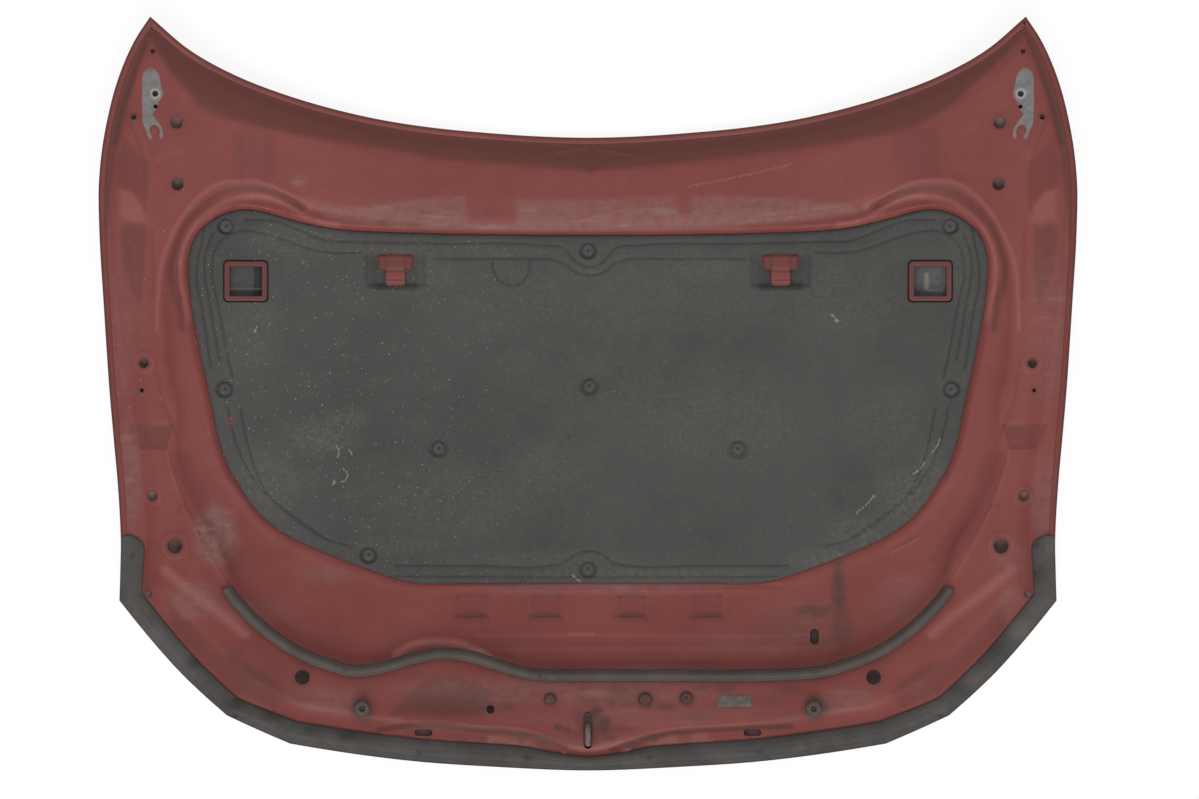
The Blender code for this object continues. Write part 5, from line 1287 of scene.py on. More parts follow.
def red_material():
    paint = Paint("red_paint_worn")
    cloudy = paint.noise(5, 4)
    patchy = paint.noise(26, 5, 0.6)
    blotchy = paint.noise(58, 5, 0.68)
    fine = paint.noise(420, 2)
    red = paint.mix(paint.ramp(cloudy, 0.35, 0.65), colour(120, 61, 57), colour(128, 67, 63))
    red = paint.mix(paint.ramp(patchy, 0.45, 0.75, 0.0, 0.35), red, colour(136, 76, 71))
    red = paint.mix(paint.ramp(fine, 0.3, 0.7, 0.0, 0.28), red, colour(110, 57, 53))
    # Painted shade in the valley, on the holes' walls and in the hooks' creases
    red = paint.mix(paint.ramp(paint.value("shade"), 0.0, 1.0), red, colour(98, 55, 50))
    # Tone: painted shade below zero, painted highlight above
    red = paint.mix(paint.share("tone", -1.0), red, colour(92, 52, 47))
    red = paint.mix(paint.share("tone"), red, colour(158, 102, 97))
    dusty = paint.maths("MULTIPLY", paint.value("dust_and_highlight"), paint.ramp(blotchy, 0.34, 0.60, 0.35, 1.0))
    red = paint.mix(paint.maths("MULTIPLY", dusty, 0.66), red, colour(128, 97, 93))
    streaks = paint.ramp(paint.noise(30, 4, 0.6, (0.5, 3.0, 1.0)), 0.52, 0.72, 0.0, 0.5)
    red = paint.mix(paint.maths("MULTIPLY", streaks, paint.value("dust_and_highlight")), red, colour(142, 114, 110))
    # Grease and dirt, with painted shade along the front crest's step
    grime_and_shade_share = paint.maths("MULTIPLY", paint.value("grime_and_shade"), paint.ramp(blotchy, 0.36, 0.56, 0.55, 1.0))
    red = paint.mix(paint.maths("MULTIPLY", grime_and_shade_share, 0.90), red, colour(70, 56, 52))
    red = paint.mix(paint.ramp(paint.value("scuff"), 0.35, 0.9, 0.0, 0.6), red, colour(80, 54, 51))
    # Collar rings: dirt and painted shade
    red = paint.mix(paint.share("edge"), red, colour(90, 58, 55))
    red = paint.mix(paint.ramp(paint.value("hook"), 0.5, 1.0, 0.0, 0.2), red, colour(126, 68, 65))
    across = paint.add("ShaderNodeSeparateXYZ", {"Vector": paint.place})
    left = paint.ramp(across.outputs[0], -0.25, -0.50, 0.10, 1.0)
    left = paint.maths("MULTIPLY", left, paint.ramp(across.outputs[1], 0.36, 0.28))
    left = paint.maths("MULTIPLY", left, paint.ramp(across.outputs[1], -0.16, -0.04, 0.15, 1.0))
    red = paint.mix(paint.maths("MULTIPLY", paint.specks(170, 0.13, 0.09), left), red, colour(196, 184, 178))
    red = paint.mix(paint.specks(190, 0.12, 0.012, 1.7), red, colour(160, 136, 130))
    red = paint.mix(paint.specks(420, 0.30, 0.03, 3.1), red, colour(92, 52, 49))
    grey = paint.mix(paint.ramp(paint.noise(90, 4), 0.35, 0.65), colour(110, 109, 107), colour(122, 121, 119))
    grey = paint.mix(paint.ramp(paint.noise(160, 4, 0.6), 0.56, 0.7, 0.0, 0.5), grey, colour(128, 84, 78))
    red = paint.mix(paint.value("primer"), red, grey)
    red = paint.mix(paint.ramp(paint.value("score"), 0.2, 0.8), red, colour(188, 186, 183))
    height = paint.maths("ADD", paint.noise(900, 2), paint.maths("MULTIPLY", patchy, 2.0))
    return paint.finish(red, 0.5, 0.2, height, 0.00006)


# Pale lines on the bare skin below the square openings: centre and half sizes
SKIN_MARKS = (
    ((-0.514, 0.157), (0.030, 0.0009)), ((0.5095, 0.168), (0.0030, 0.0130)), ((0.5225, 0.1545), (0.0115, 0.0016)),
)

# Painted light and shade on the skin's inner side where it is seen through holes: middle in plan, half size, colour
SEEN_SPOTS = (
    (-0.659, -0.301, 0.014, (90, 76, 74)), (0.659, -0.301, 0.014, (90, 76, 74)),
    (0.428, -0.428, 0.020, (176, 156, 151)), (-0.428, -0.428, 0.020, (176, 156, 151)),
    (-0.1457, -0.473, 0.012, (235, 205, 200)), (0.340, -0.366, 0.020, (62, 54, 53)),
    (-0.246, -0.508, 0.022, (88, 75, 74)), (0.246, -0.508, 0.022, (88, 75, 74)),
)

# The skin's inner side below the square openings: half sizes of the grey, and a shadow and a darker patch in the left
# one
SEEN_WINDOW = (0.045, 0.042)
WINDOW_SHADOW = ((-0.4965, 0.168), (0.0068, 0.030))
WINDOW_DARKER = ((-0.5145, 0.170), (0.036, 0.034))


def skin_material():
    paint = Paint("outer_skin_paint")
    cloudy = paint.ramp(paint.noise(6, 4), 0.35, 0.65)
    red = paint.mix(cloudy, colour(118, 58, 54), colour(128, 66, 62))
    # The inner side is far paler than its red paint: painted light where the holes over it keep it in shade
    inner = paint.mix(paint.ramp(paint.noise(70, 4), 0.35, 0.65), colour(160, 125, 119), colour(182, 144, 137))
    grey = paint.mix(paint.ramp(paint.noise(120, 4), 0.35, 0.65), colour(84, 85, 86), colour(98, 98, 98))
    grey = paint.mix(paint.box(*WINDOW_SHADOW), grey, colour(50, 47, 45))
    grey = paint.mix(paint.maths("MULTIPLY", paint.box(*WINDOW_DARKER), 0.5), grey, colour(62, 60, 58))
    for centre, half in SKIN_MARKS:
        grey = paint.mix(paint.maths("MULTIPLY", paint.box(centre, half, 0.0022), 0.55), grey, colour(150, 148, 142))
    shown = paint.mix(paint.value("inner"), red, inner)
    for centre in COLLARS:
        window = paint.box(centre, SEEN_WINDOW)
        shown = paint.mix(paint.maths("MULTIPLY", window, paint.value("inner")), shown, grey)
    # Painted light and shade in the holes
    for x, y, reach, seen in SEEN_SPOTS:
        shown = paint.mix(paint.maths("MULTIPLY", paint.box((x, y), (reach, reach), 0.002), 0.8), shown, colour(*seen))
    # Grime and painted shade on the fold and on the lip's edge
    shown = paint.mix(paint.ramp(paint.value("grime_and_shade"), 0.0, 1.0), shown, colour(60, 40, 38))
    return paint.finish(shown, 0.45, 0.2, paint.noise(700, 2), 0.00004)


def felt_material():
    paint = Paint("felt_grey")
    cloudy = paint.noise(4.5, 4)
    mottled = paint.noise(34, 5, 0.65)
    fibre = paint.noise(620, 4, 0.7, (1.0, 0.55, 1.0))
    felt = paint.mix(paint.ramp(cloudy, 0.35, 0.65), colour(77, 77, 75), colour(84, 83, 81))
    felt = paint.mix(paint.ramp(mottled, 0.42, 0.7, 0.0, 0.40), felt, colour(92, 89, 85))
    felt = paint.mix(paint.ramp(fibre, 0.35, 0.7, 0.0, 0.45), felt, colour(63, 63, 61))
    felt = paint.mix(paint.ramp(paint.noise(950, 3, 0.7), 0.55, 0.78, 0.0, 0.35), felt, colour(118, 116, 111))
    felt = paint.mix(paint.ramp(paint.value("shade"), 0.0, 1.0, 0.0, 0.85), felt, colour(46, 44, 43))
    powdery = paint.noise(170, 6, 0.76)
    dusty = paint.maths("MULTIPLY", paint.value("dust_and_highlight"), paint.ramp(powdery, 0.42, 0.60, 0.15, 1.0))
    felt = paint.mix(paint.maths("MULTIPLY", dusty, 0.50), felt, colour(108, 106, 102))
    felt = paint.mix(paint.value("scrape"), felt, colour(112, 74, 62))
    across = paint.add("ShaderNodeSeparateXYZ", {"Vector": paint.place}).outputs[0]
    for scale, size, density, seed in ((100, 0.11, 0.06, 0.0), (190, 0.16, 0.08, 5.3), (330, 0.24, 0.06, 9.1)):
        flecks = paint.specks(scale, size, density, seed)
        flecks = paint.maths("MULTIPLY", flecks, paint.ramp(across, 0.05, -0.32, 0.30, 1.0))
        felt = paint.mix(flecks, felt, colour(172, 169, 162))
    felt = paint.mix(paint.value("fleck"), felt, colour(190, 187, 178))
    height = paint.maths("ADD", fibre, paint.maths("MULTIPLY", mottled, 2.0))
    return paint.finish(felt, 0.95, 0.05, height, 0.0006)


def rubber_material(name, dark, light, dust_and_highlight):
    paint = Paint(name)
    cloudy = paint.noise(14, 5, 0.6)
    rubber = paint.mix(paint.ramp(cloudy, 0.35, 0.65), dark, light)
    rubber = paint.mix(paint.ramp(paint.noise(46, 5, 0.65), 0.5, 0.72, 0.0, 0.35), rubber, dust_and_highlight)
    rubber = paint.mix(paint.ramp(paint.noise(240, 4, 0.65), 0.5, 0.75, 0.0, 0.35), rubber, dust_and_highlight)
    rubber = paint.mix(paint.share("shade", 0.9), rubber, colour(44, 41, 40))
    # On the bay seal's ridges this value is painted highlight
    rubber = paint.mix(paint.share("dust_and_highlight", 0.7), rubber, dust_and_highlight)
    rubber = paint.mix(paint.specks(150, 0.10, 0.012), rubber, colour(146, 142, 136))
    return paint.finish(rubber, 0.7, 0.12, paint.noise(520, 4, 0.6), 0.00025)


def plain_material(name, dark, light, roughness, metallic=0.0, scale=80, depth=0.00015):
    paint = Paint(name)
    tone = paint.mix(paint.ramp(paint.noise(scale, 5, 0.6), 0.35, 0.65), dark, light)
    tone = paint.mix(paint.ramp(paint.noise(scale * 7, 3), 0.55, 0.8, 0.0, 0.4), tone, dark)
    tone = paint.mix(paint.share("shade", 0.9), tone, colour(38, 31, 30))
    return paint.finish(tone, roughness, 0.2, paint.noise(scale * 9, 3), depth, metallic)


RED = red_material()
SKIN = skin_material()
FELT = felt_material()
FRONT_RUBBER = rubber_material("front_seal_rubber", colour(76, 74, 72), colour(86, 84, 82), colour(100, 95, 90))
BAY_RUBBER = rubber_material("engine_bay_rubber", colour(80, 74, 71), colour(90, 84, 81), colour(106, 98, 93))
CLIP = plain_material("clip_plastic_worn", colour(70, 69, 68), colour(79, 78, 77), 0.6, scale=200)
BUFFER = plain_material("buffer_rubber_worn", colour(76, 65, 61), colour(90, 78, 73), 0.7, scale=160)
PLUG = plain_material("plug_rubber_worn", colour(84, 58, 54), colour(98, 66, 62), 0.6, scale=160)
WIRE = plain_material("striker_wire_rubbed", colour(98, 78, 73), colour(122, 102, 97), 0.45, 0.2, 260)
STEEL = plain_material("steel_greased", colour(58, 48, 45), colour(76, 65, 61), 0.5, 0.2, 200)
FOIL = plain_material("foil_rubbed", colour(90, 84, 81), colour(108, 101, 97), 0.55, scale=90)
MASTIC = plain_material("mastic_grey", colour(60, 60, 62), colour(74, 73, 74), 0.8, scale=120)


# Outer skin

def loft(rings, closed=False):
    """Points and quads through rings of the same length. A closed loft joins its last ring to its first."""
    count = len(rings[0])
    points = np.vstack(rings)
    faces = []
    for ring in range(len(rings) if closed else len(rings) - 1):
        this, other = ring * count, (ring + 1) % len(rings) * count
        for station in range(count):
            following = (station + 1) % count
            faces.append((this + station, this + following, other + following, other + station))
    return points, faces


def lifted(ring, rise):
    return np.column_stack([ring, skin_z(ring[:, 0], ring[:, 1]) + rise])


def build_skin(material):
    """Outer skin with its edge folded over the frame: the dome below, the fold, the lip, the inner side."""
    outline = finer(RINGS["outline"], OUTLINE_CORNERS)
    half = SKIN_THICKNESS / 2
    fold = half + FOLD_RISE
    lip_low, lip_high = 2 * FOLD_RISE - half, 2 * FOLD_RISE + half

    def fold_arc(start, turn, steps, reach):
        angles = [start + turn * step / steps for step in range(steps + 1)]
        return [(fold + reach * math.cos(angle), FOLD_RISE + reach * math.sin(angle)) for angle in angles]

    section = fold_arc(-math.pi / 2, -math.pi, 8, FOLD_RISE + half)
    section += [(0.0022, lip_high), (HEM_LIP * 0.5, lip_high), (HEM_LIP - 0.0003, lip_high),
                (HEM_LIP, lip_high - 0.0002), (HEM_LIP, lip_low), (fold, lip_low)]
    section += fold_arc(math.pi / 2, math.pi, 4, FOLD_RISE - half)
    edge = [lifted(inset(outline, distance), rise) for distance, rise in section]
    base = inset(outline, 0.012)
    shares = (1.0, 0.93, 0.86, 0.78, 0.7, 0.6, 0.5, 0.4, 0.3, 0.2, 0.1, 0.03)
    below = [lifted(base * share, -half) for share in shares[::-1]]
    above = [lifted(base * share, half) for share in shares]
    points, faces = loft(below + edge + above)
    count = len(outline)
    values = {label: np.zeros(len(points)) for label in ("grime_and_shade", "inner")}
    inner = (len(below) + 15) * count
    values["inner"][inner:] = 1.0
    # Grime and painted shade: the edge darker, most on the fold and on the lip's edge
    values["grime_and_shade"][len(below) * count:(len(below) + 15) * count] = 0.22
    fold_start = len(below) + 4
    values["grime_and_shade"][fold_start * count:(fold_start + 6) * count] = 0.62
    lip = len(below) + 12
    values["grime_and_shade"][lip * count:(lip + 3) * count] = 0.75
    sheet = Sheet(points, faces, values)
    sheet.cap(list(range(count)), upward=False)
    sheet.cap(list(range(len(points) - count, len(points))), upward=True)
    return sheet.piece("outer_skin_sheet", ("outer_skin",), "red_paint", material)


# Felt pad

PAD_PROFILE = (
    (0.0, 0.0008, 0.0020, 0.0040, 0.0070, 0.0110, 0.0340), (0.0150, 0.0160, 0.0170, 0.0181, 0.0188, 0.0191, 0.0213),
)
GROOVE_DEPTH = 0.0015
GROOVE_WIDTH = 0.0034
# Grooves pressed into the pad: on both sides or not, line in pixels
PAD_GROOVES = (
    (False, ((245, 220), (275, 221), (300, 230), (325, 240), (360, 241.5), (440, 243.5), (540, 245), (565, 248.5),
     (572, 257), (580, 264), (590, 267), (600, 264), (608, 257), (615, 248.5), (640, 245), (740, 243.5),
     (820, 241.5), (855, 240), (880, 230), (905, 221), (935, 220))),
    (False, ((435, 258.5), (490, 258.5), (530, 258.5), (548, 258.8), (556, 260), (567, 265), (577, 272.5),
     (590, 275), (603, 272.5), (613, 265), (625, 259.5), (640, 258.5), (665, 258.5), (705, 258.5), (745, 258.5))),
    (True, ((360, 252.5), (330, 252.5), (305, 247.5), (285, 240), (265, 234), (240, 231), (220, 242),
     (213.3, 257.6), (212.5, 276), (217, 299), (221.7, 322), (226.3, 349.5), (232.4, 377))),
    (True, ((204, 228), (202.6, 239), (198, 260.6), (197, 283.6), (201.8, 306.6), (206.4, 337), (211, 368))),
    (True, ((212.5, 234.6), (206, 253), (204.9, 276), (209.4, 299), (214, 329.5), (220, 360))),
    (True, ((240.8, 409), (244.7, 430.6), (252.3, 461), (266, 492), (289, 515), (312, 531.7), (330, 542.4))),
    (True, ((227.8, 407.7), (232, 430), (237, 446), (244.7, 464), (258.5, 485.8), (281, 507), (304, 524),
     (330, 541), (351, 546.8))),
    (False, ((395, 566.5), (480, 566.5), (548, 566.5), (565, 563), (576, 555), (589, 552), (602, 555), (613, 563),
     (630, 566.5), (700, 566.5), (790, 566.5))),
    (False, ((395, 577.6), (480, 577.6), (589, 578.2), (700, 577.6), (780, 577.6))),
    (False, ((492.5, 260), (493.5, 270), (500, 281), (512, 285), (523, 281), (529, 270), (530, 260))),
)
HOOK_RECESS = np.array((0.0945, 0.0560))
HOOK_RECESS_MIDDLE = 0.0125
HOOK_RECESS_DEPTH = 0.0066
RECESSES = [centre - (0, HOOK_RECESS_MIDDLE) for centre in HOOKS]
RECESS_SLOPE = 0.007
RECESS_ROUND = 0.006
RECESS_SHADOW = np.array((0.030, 0.003))
PAD_WINDOW = COLLAR_SIZE + 0.0038
PAD_WINDOW_ROUND = 0.0075
PAD_RIMS = (0.0010, 0.0030, 0.0058, 0.0090)
PAD_RIM_GAP = 0.0018
PAD_SHAPE_GAP = 0.0016
PAD_EDGE_GAP = 0.0022
PAD_GRID = 0.0036
PAD_GRID_CLEAR = 0.0028
PAD_UNDER_GRID = 0.030
CLIP_FLOOR = 0.0056
CLIPS = (
    ("top_centre", 0, 215, 0.0145), ("top_left", -544, 251, 0.0135), ("top_right", 544, 251, 0.0135),
    ("mid_left", -546, 6, 0.0140), ("mid_right", 546, 6, 0.0140), ("centre", 2, 11, 0.0170),
    ("lower_left", -225, -83, 0.0160), ("lower_right", 226, -83, 0.0180), ("bottom_centre", 0, -265, 0.0145),
    ("bottom_left", -330, -243.5, 0.0140),
)
CLIP_DIMPLE = 0.0112
PAD_DUST = (
    (300, 240, 90, 22, 0.6), (250, 330, 44, 70, 0.6), (590, 300, 240, 60, 0.45), (720, 420, 140, 70, 0.5),
    (440, 500, 140, 60, 0.5), (905, 500, 40, 50, 0.9), (830, 560, 60, 16, 0.9), (640, 575, 180, 10, 0.6),
    (318, 438, 50, 26, 1.0), (345, 420, 30, 16, 0.9), (840, 300, 80, 60, 0.5), (545, 470, 60, 40, 0.5),
    (270, 480, 46, 46, 0.7), (420, 275, 60, 30, 0.5), (700, 270, 70, 24, 0.5), (890, 420, 60, 60, 0.5),
    (560, 560, 160, 12, 0.5), (960, 260, 20, 60, 0.4), (480, 250, 200, 10, 0.5), (620, 380, 160, 60, 0.35),
    (857, 535, 50, 26, 0.8), (930, 480, 22, 50, 0.8), (400, 545, 80, 14, 0.5),
)
PAD_FLECKS = (
    ((336, 446), (339, 452), (337, 459)), ((343, 470), (347, 474), (345, 481), (340, 483)), ((330, 487), (334, 484)),
    ((834.5, 316), (838, 320)), ((573.5, 577), (577, 580), (581, 583)), ((255, 330), (257, 327)),
    ((302, 262), (304, 265)), ((941, 440), (938, 447), (934, 452)), ((926, 463), (921, 470), (915, 474)),
    ((874, 498), (866, 507), (858, 513)), ((350, 452), (352, 456)),
)
PAD_SHADE = (
    (254, 208, 7, 4, 1.0), (569, 438, 3.0, 3.0, 0.6), (838, 500, 10, 44, 0.22), (224, 208, 6, 4, 0.5),
    (239, 262, 5, 4, 0.6),
)


def pad_rise(places, outline):
    """Height of the pad's top above the skin, before its grooves and dimples."""
    return np.interp(distance_to(places, closed(outline)), *PAD_PROFILE)


def pad_values(places, grooves):
    shade = grooves * 0.55
    for centre in COLLARS:
        shade = np.maximum(shade, 0.35 * box_share(places, centre, COLLAR_SIZE / 2, 0.006))
    for centre in RECESSES:
        foot = centre - (0, HOOK_RECESS[1] / 2 - 0.004)
        shade = np.maximum(shade, 0.42 * box_share(places, centre, HOOK_RECESS / 2 - 0.016, 0.018))
        shade = np.maximum(shade, 0.62 * box_share(places, foot, RECESS_SHADOW, 0.008))
    scrape = blob(places, 230, 422, 5, 9)
    fleck = np.zeros(len(places))
    for line in PAD_FLECKS:
        fleck = np.maximum(fleck, line_share(places, line, 0.0010))
    return {"shade": np.maximum(shade, blobs(places, PAD_SHADE)), "dust_and_highlight": blobs(places, PAD_DUST),
            "scrape": scrape * 0.7, "fleck": fleck * 0.5}


def pad_top(places, outline, lines):
    """Heights of the pad's top side, and how deep in a groove each place lies."""
    z = skin_z(places[:, 0], places[:, 1]) + pad_rise(places, outline)
    grooves = np.zeros(len(places))
    for line in lines:
        grooves = np.maximum(grooves, bump(distance_to(places, line) / GROOVE_WIDTH))
    z = z - GROOVE_DEPTH * grooves
    for centre in RECESSES:
        z -= HOOK_RECESS_DEPTH * box_share(places, centre, HOOK_RECESS / 2 - RECESS_SLOPE, RECESS_SLOPE)
    for _, x, y, reach in CLIPS:
        centre = np.array((x, y)) * MM
        near = np.linalg.norm(places - centre, axis=1)
        close = near < reach
        floor = tree_z(FRAME_TREE, centre[None])[0] + CLIP_FLOOR
        share = smooth((reach - near[close]) / (reach - CLIP_DIMPLE))
        z[close] = z[close] * (1 - share) + floor * share
    return z, grooves


def build_pad(material):
    outline = finer(RINGS["pad"])[::2]
    lines = [curved(pixels, 0.0030) * flip for both, pixels in PAD_GROOVES for flip in MIRRORS[:1 + both]]
    windows = [box_loop(centre, *PAD_WINDOW, PAD_WINDOW_ROUND, 6, 0.003) for centre in COLLARS]
    rims = [inset(outline, distance) for distance in PAD_RIMS]
    grooves = [beside(line, (-0.0034, -0.0018, 0, 0.0018, 0.0034)) for line in lines]
    grooves += [beside(curved(line, 0.0015), (-0.0012, 0, 0.0012)) for line in PAD_FLECKS]
    dimples = []
    for _, x, y, reach in CLIPS:
        for radius in (CLIP_DIMPLE - 0.004, CLIP_DIMPLE, (reach + CLIP_DIMPLE) / 2, reach, reach + 0.002):
            dimples.append(ring_points((x * MM, y * MM), radius, 0.0024))
    for centre in RECESSES:
        for less in (-0.001, 0.0025, 0.005, 0.0075):
            dimples.append(box_loop(centre, *(HOOK_RECESS - 2 * less), RECESS_ROUND, 4, 0.003))
    rims = clear_of(thinned(np.vstack(rims), PAD_RIM_GAP), np.vstack(windows), PAD_EDGE_GAP)
    shapes = thinned(np.vstack(dimples + grooves), PAD_SHAPE_GAP)
    shapes = clear_of(shapes, np.vstack([outline, rims] + windows), 0.0020)
    inner = grid(outline.min(0), outline.max(0), PAD_GRID)
    inner = clear_of(inner, np.vstack([outline, rims, shapes] + windows), PAD_GRID_CLEAR)
    places = np.vstack([rims, shapes, inner])
    places = places[inside(places, outline)]
    for window in windows:
        places = places[~inside(places, window)]
    plan, triangles, numbers = triangulate(outline, windows, places)
    z, grooves = pad_top(plan, outline, lines)
    sheet = Sheet(np.column_stack([plan, z]), triangles, pad_values(plan, grooves))
    lowest = [sheet.walls(numbers[0], ((-0.0006, 0.0006), (-0.0006, 0.0016)), hole=False)]
    lowest += [sheet.walls(loop, ((0.0, 0.004), (0.0, 0.009)), darken=0.6) for loop in numbers[1:]]
    under = grid(outline.min(0), outline.max(0), PAD_UNDER_GRID)
    under = under[inside(under, inset(outline, 0.012))]
    for window in windows:
        under = under[~inside(under, inset(window, 0.008))]
    close_below(sheet, lowest, under)
    piece = sheet.piece("felt_pad", ("insulation_pad",), "felt", material, 60)
    return piece


def close_below(sheet, loops, places):
    """Closes a sheet's underside between the lowest rings of its walls."""
    outlines = [sheet.points[loop][:, :2] for loop in loops]
    plan, triangles, numbers = triangulate(outlines[0], outlines[1:], places)
    known = {number: index for loop, found in zip(loops, numbers) for index, number in zip(loop, found)}
    rest = [number for number in range(len(plan)) if number not in known]
    z = tree_z(FRAME_TREE, plan[rest]) + 0.0010
    new = sheet.grow(np.column_stack([plan[rest], z]), [loops[0][0]] * len(rest))
    known.update(zip(rest, new))
    sheet.faces += [tuple(known[index] for index in face[::-1]) for face in triangles.tolist()]


# Turned pieces

def seat_at(x, y, reach):
    """Placement on the frame: origin on it and Z square to its mean slope."""
    places = np.array([(x, y), (x + reach, y), (x - reach, y), (x, y + reach), (x, y - reach)])
    z = tree_z(FRAME_TREE, places)
    slope = Vector(((z[1] - z[2]) / (2 * reach), (z[3] - z[4]) / (2 * reach), 0))
    normal = Vector((-slope.x, -slope.y, 1)).normalized()
    across = Vector((1, 0, slope.x)).normalized()
    turn = Matrix((across, normal.cross(across), normal)).transposed().to_4x4()
    return Matrix.Translation((x, y, z[0])) @ turn


def turned(name, node, material, profile, placement, sides=48, shades=()):
    """A closed body made by turning a profile of radius and height, from its top middle to its foot."""
    angle = 2 * math.pi * np.arange(sides) / sides
    points, shade = [(0, 0, profile[0][1])], [0.0]
    for index, (radius, height) in enumerate(profile[1:-1], 1):
        points += [(radius * math.cos(a), radius * math.sin(a), height) for a in angle]
        shade += [dict(shades).get(index, 0.0)] * sides
    points.append((0, 0, profile[-1][1]))
    shade.append(0.0)
    faces = [(0, 1 + k, 1 + (k + 1) % sides) for k in range(sides)]
    for ring in range(len(profile) - 3):
        start = 1 + ring * sides
        for k in range(sides):
            following = (k + 1) % sides
            faces.append((start + k, start + sides + k, start + sides + following, start + following))
    start = 1 + (len(profile) - 3) * sides
    faces += [(start + k, len(points) - 1, start + (k + 1) % sides) for k in range(sides)]
    placed = [tuple(placement @ Vector(point)) for point in points]
    values = {"shade": shade, "dust_and_highlight": np.zeros(len(points))}
    return add_piece(name, placed, faces, (node,), material, 40, values)


# Height of a clip's head above the tray, and profiles from the middle of the top down to the foot
CLIP_SEAT = 0.0057
CLIP_RADIUS = 0.010
BUFFERS = both_sides(337.5, -472)
BUFFER_RADIUS = 0.0125
BUFFER_SEAT = 0.0008
PLUG_SEAT = 0.0010
# Name, radius of the head, and radius of the hollow in its middle
PLUG_HEADS = (("left", 0.0096, 0.0), ("centre", 0.0110, 0.0), ("right", 0.0100, 0.0020))


def build_clips(material):
    low = CLIP_SEAT
    profile = (
        (0, low + 0.0012), (0.0016, low + 0.0013), (0.0024, low + 0.0027), (0.0052, low + 0.0029),
        (0.0078, low + 0.0024), (0.0094, low + 0.0014), (CLIP_RADIUS, low + 0.0005), (0.0098, low),
        (0.0032, low), (0.0030, 0.0000), (0.0012, -0.0042), (0, -0.0044),
    )
    for word, x, y, _ in CLIPS:
        placement = seat_at(x * MM, y * MM, CLIP_RADIUS)
        turned("clip_" + word, "pad_clip_" + word, material, profile, placement,
               shades=((1, 0.5), (2, 0.1), (6, 0.3), (7, 0.5)))


def build_buffers(material):
    for (x, y), word in zip(BUFFERS, ("left", "right")):
        placement = seat_at(x, y, BUFFER_RADIUS)
        seat = BUFFER_SEAT
        profile = (
            (0, seat + 0.0100), (0.0030, seat + 0.0102), (0.0040, seat + 0.0128), (0.0052, seat + 0.0139),
            (0.0080, seat + 0.0140), (0.0098, seat + 0.0133), (0.0112, seat + 0.0115), (0.0118, seat + 0.0095),
            (0.0112, seat + 0.0085), (0.0118, seat + 0.0070), (0.0124, seat + 0.0040), (BUFFER_RADIUS, seat + 0.0004),
            (0.0120, seat), (0.0058, seat), (0.0058, -0.0025), (0.0036, -0.0050), (0, -0.0050),
        )
        turned("buffer_" + word, "bump_stop_" + word, material, profile, placement,
               shades=((1, 0.8), (2, 0.4), (8, 0.5), (12, 0.7)))


def build_plugs(material):
    for (x, y, _), (word, radius, hollow) in zip(PLUG_HOLES, PLUG_HEADS):
        placement = seat_at(x * MM, y * MM, radius)
        seat = PLUG_SEAT
        top = seat + 0.0024
        middle = ((0, top), (radius * 0.25, top)) if not hollow else ((0, top - 0.0014), (hollow, top - 0.0013))
        profile = middle + (
            (max(hollow * 1.3, radius * 0.40), top - 0.0001), (radius * 0.62, top - 0.0004),
            (radius * 0.70, top - 0.0009), (radius * 0.84, top - 0.0009), (radius * 0.95, top - 0.0015),
            (radius, seat + 0.0003), (radius * 0.98, seat), (radius - 0.0030, seat), (radius - 0.0034, -0.0030),
            (radius * 0.5, -0.0045), (0, -0.0045),
        )
        turned("plug_" + word, "hole_plug_" + word, material, profile, placement,
               shades=((1, 0.9 if hollow else 0.0), (4, 0.6), (5, 0.7), (7, 0.5), (8, 0.9), (9, 1.0)))


# Seals

def strip(name, node, material, lines, first, last, values):
    """A closed body whose section goes round through lines that run side by side."""
    rows = np.stack([line[first:last + 1] for line in lines])
    sections, stations = rows.shape[:2]
    points = rows.reshape(-1, 3)
    faces = []
    for section in range(sections):
        following = (section + 1) % sections
        for station in range(stations - 1):
            faces.append((section * stations + station, following * stations + station,
                          following * stations + station + 1, section * stations + station + 1))
    for station in (0, stations - 1):
        middle = len(points)
        points = np.vstack([points, rows[:, station].mean(0)[None]])
        for section in range(sections):
            following = (section + 1) % sections
            face = (section * stations + station, following * stations + station, middle)
            faces.append(face[::-1] if station == 0 else face)
    shade, dust_and_highlight = values(points[:, :2], np.append(np.repeat(np.arange(sections), stations), (0, 0)))
    return add_piece(name, points, faces, (node,), material, 35, {"shade": shade, "dust_and_highlight": dust_and_highlight})


FRONT_SEAL_SECTION = (
    (0.0, 0.0030), (0.05, 0.0040), (0.12, 0.0049), (0.20, 0.0057), (0.23, 0.0056), (0.26, 0.0060), (0.34, 0.0070),
    (0.44, 0.0080), (0.50, 0.0083), (0.53, 0.0081), (0.56, 0.0083), (0.68, 0.0082), (0.76, 0.0077),
    (0.80, 0.0073), (0.84, 0.0070), (0.92, 0.0059), (0.97, 0.0048), (1.0, 0.0036),
)
SEAL_NOTCHES = ((350, 730), (396, 736), (635, 747), (726, 742), (828, 729), (782, 736))
SEAL_DIMPLES = ((133, 556), (146, 640), (236, 716), (420, 752), (528, 757), (650, 757), (760, 751), (940, 716),
                (1037, 545), (1035.5, 574))
SEAL_BLOTCHES = ((198, 662, 16, 10, 0.5), (237, 703, 18, 10, 0.5), (274, 716, 16, 8, 0.5), (313, 730, 16, 8, 0.45),
                 (349, 735, 16, 8, 0.5), (995, 650, 20, 14, 0.4), (960, 690, 18, 12, 0.35), (1038, 574, 14, 12, 0.35))
SEAL_PALE = ((1018, 629, 16, 16, 0.9), (975, 676, 20, 14, 0.4), (938, 706, 14, 10, 0.5), (589, 757, 60, 9, 0.6),
             (150, 640, 14, 20, 0.3))
# Inset of the seal's outer edge, and how much of its width the first stations at its ends have
SEAL_NEAR = 0.0012
SEAL_ROUNDING = (0.52, 0.84, 0.97)


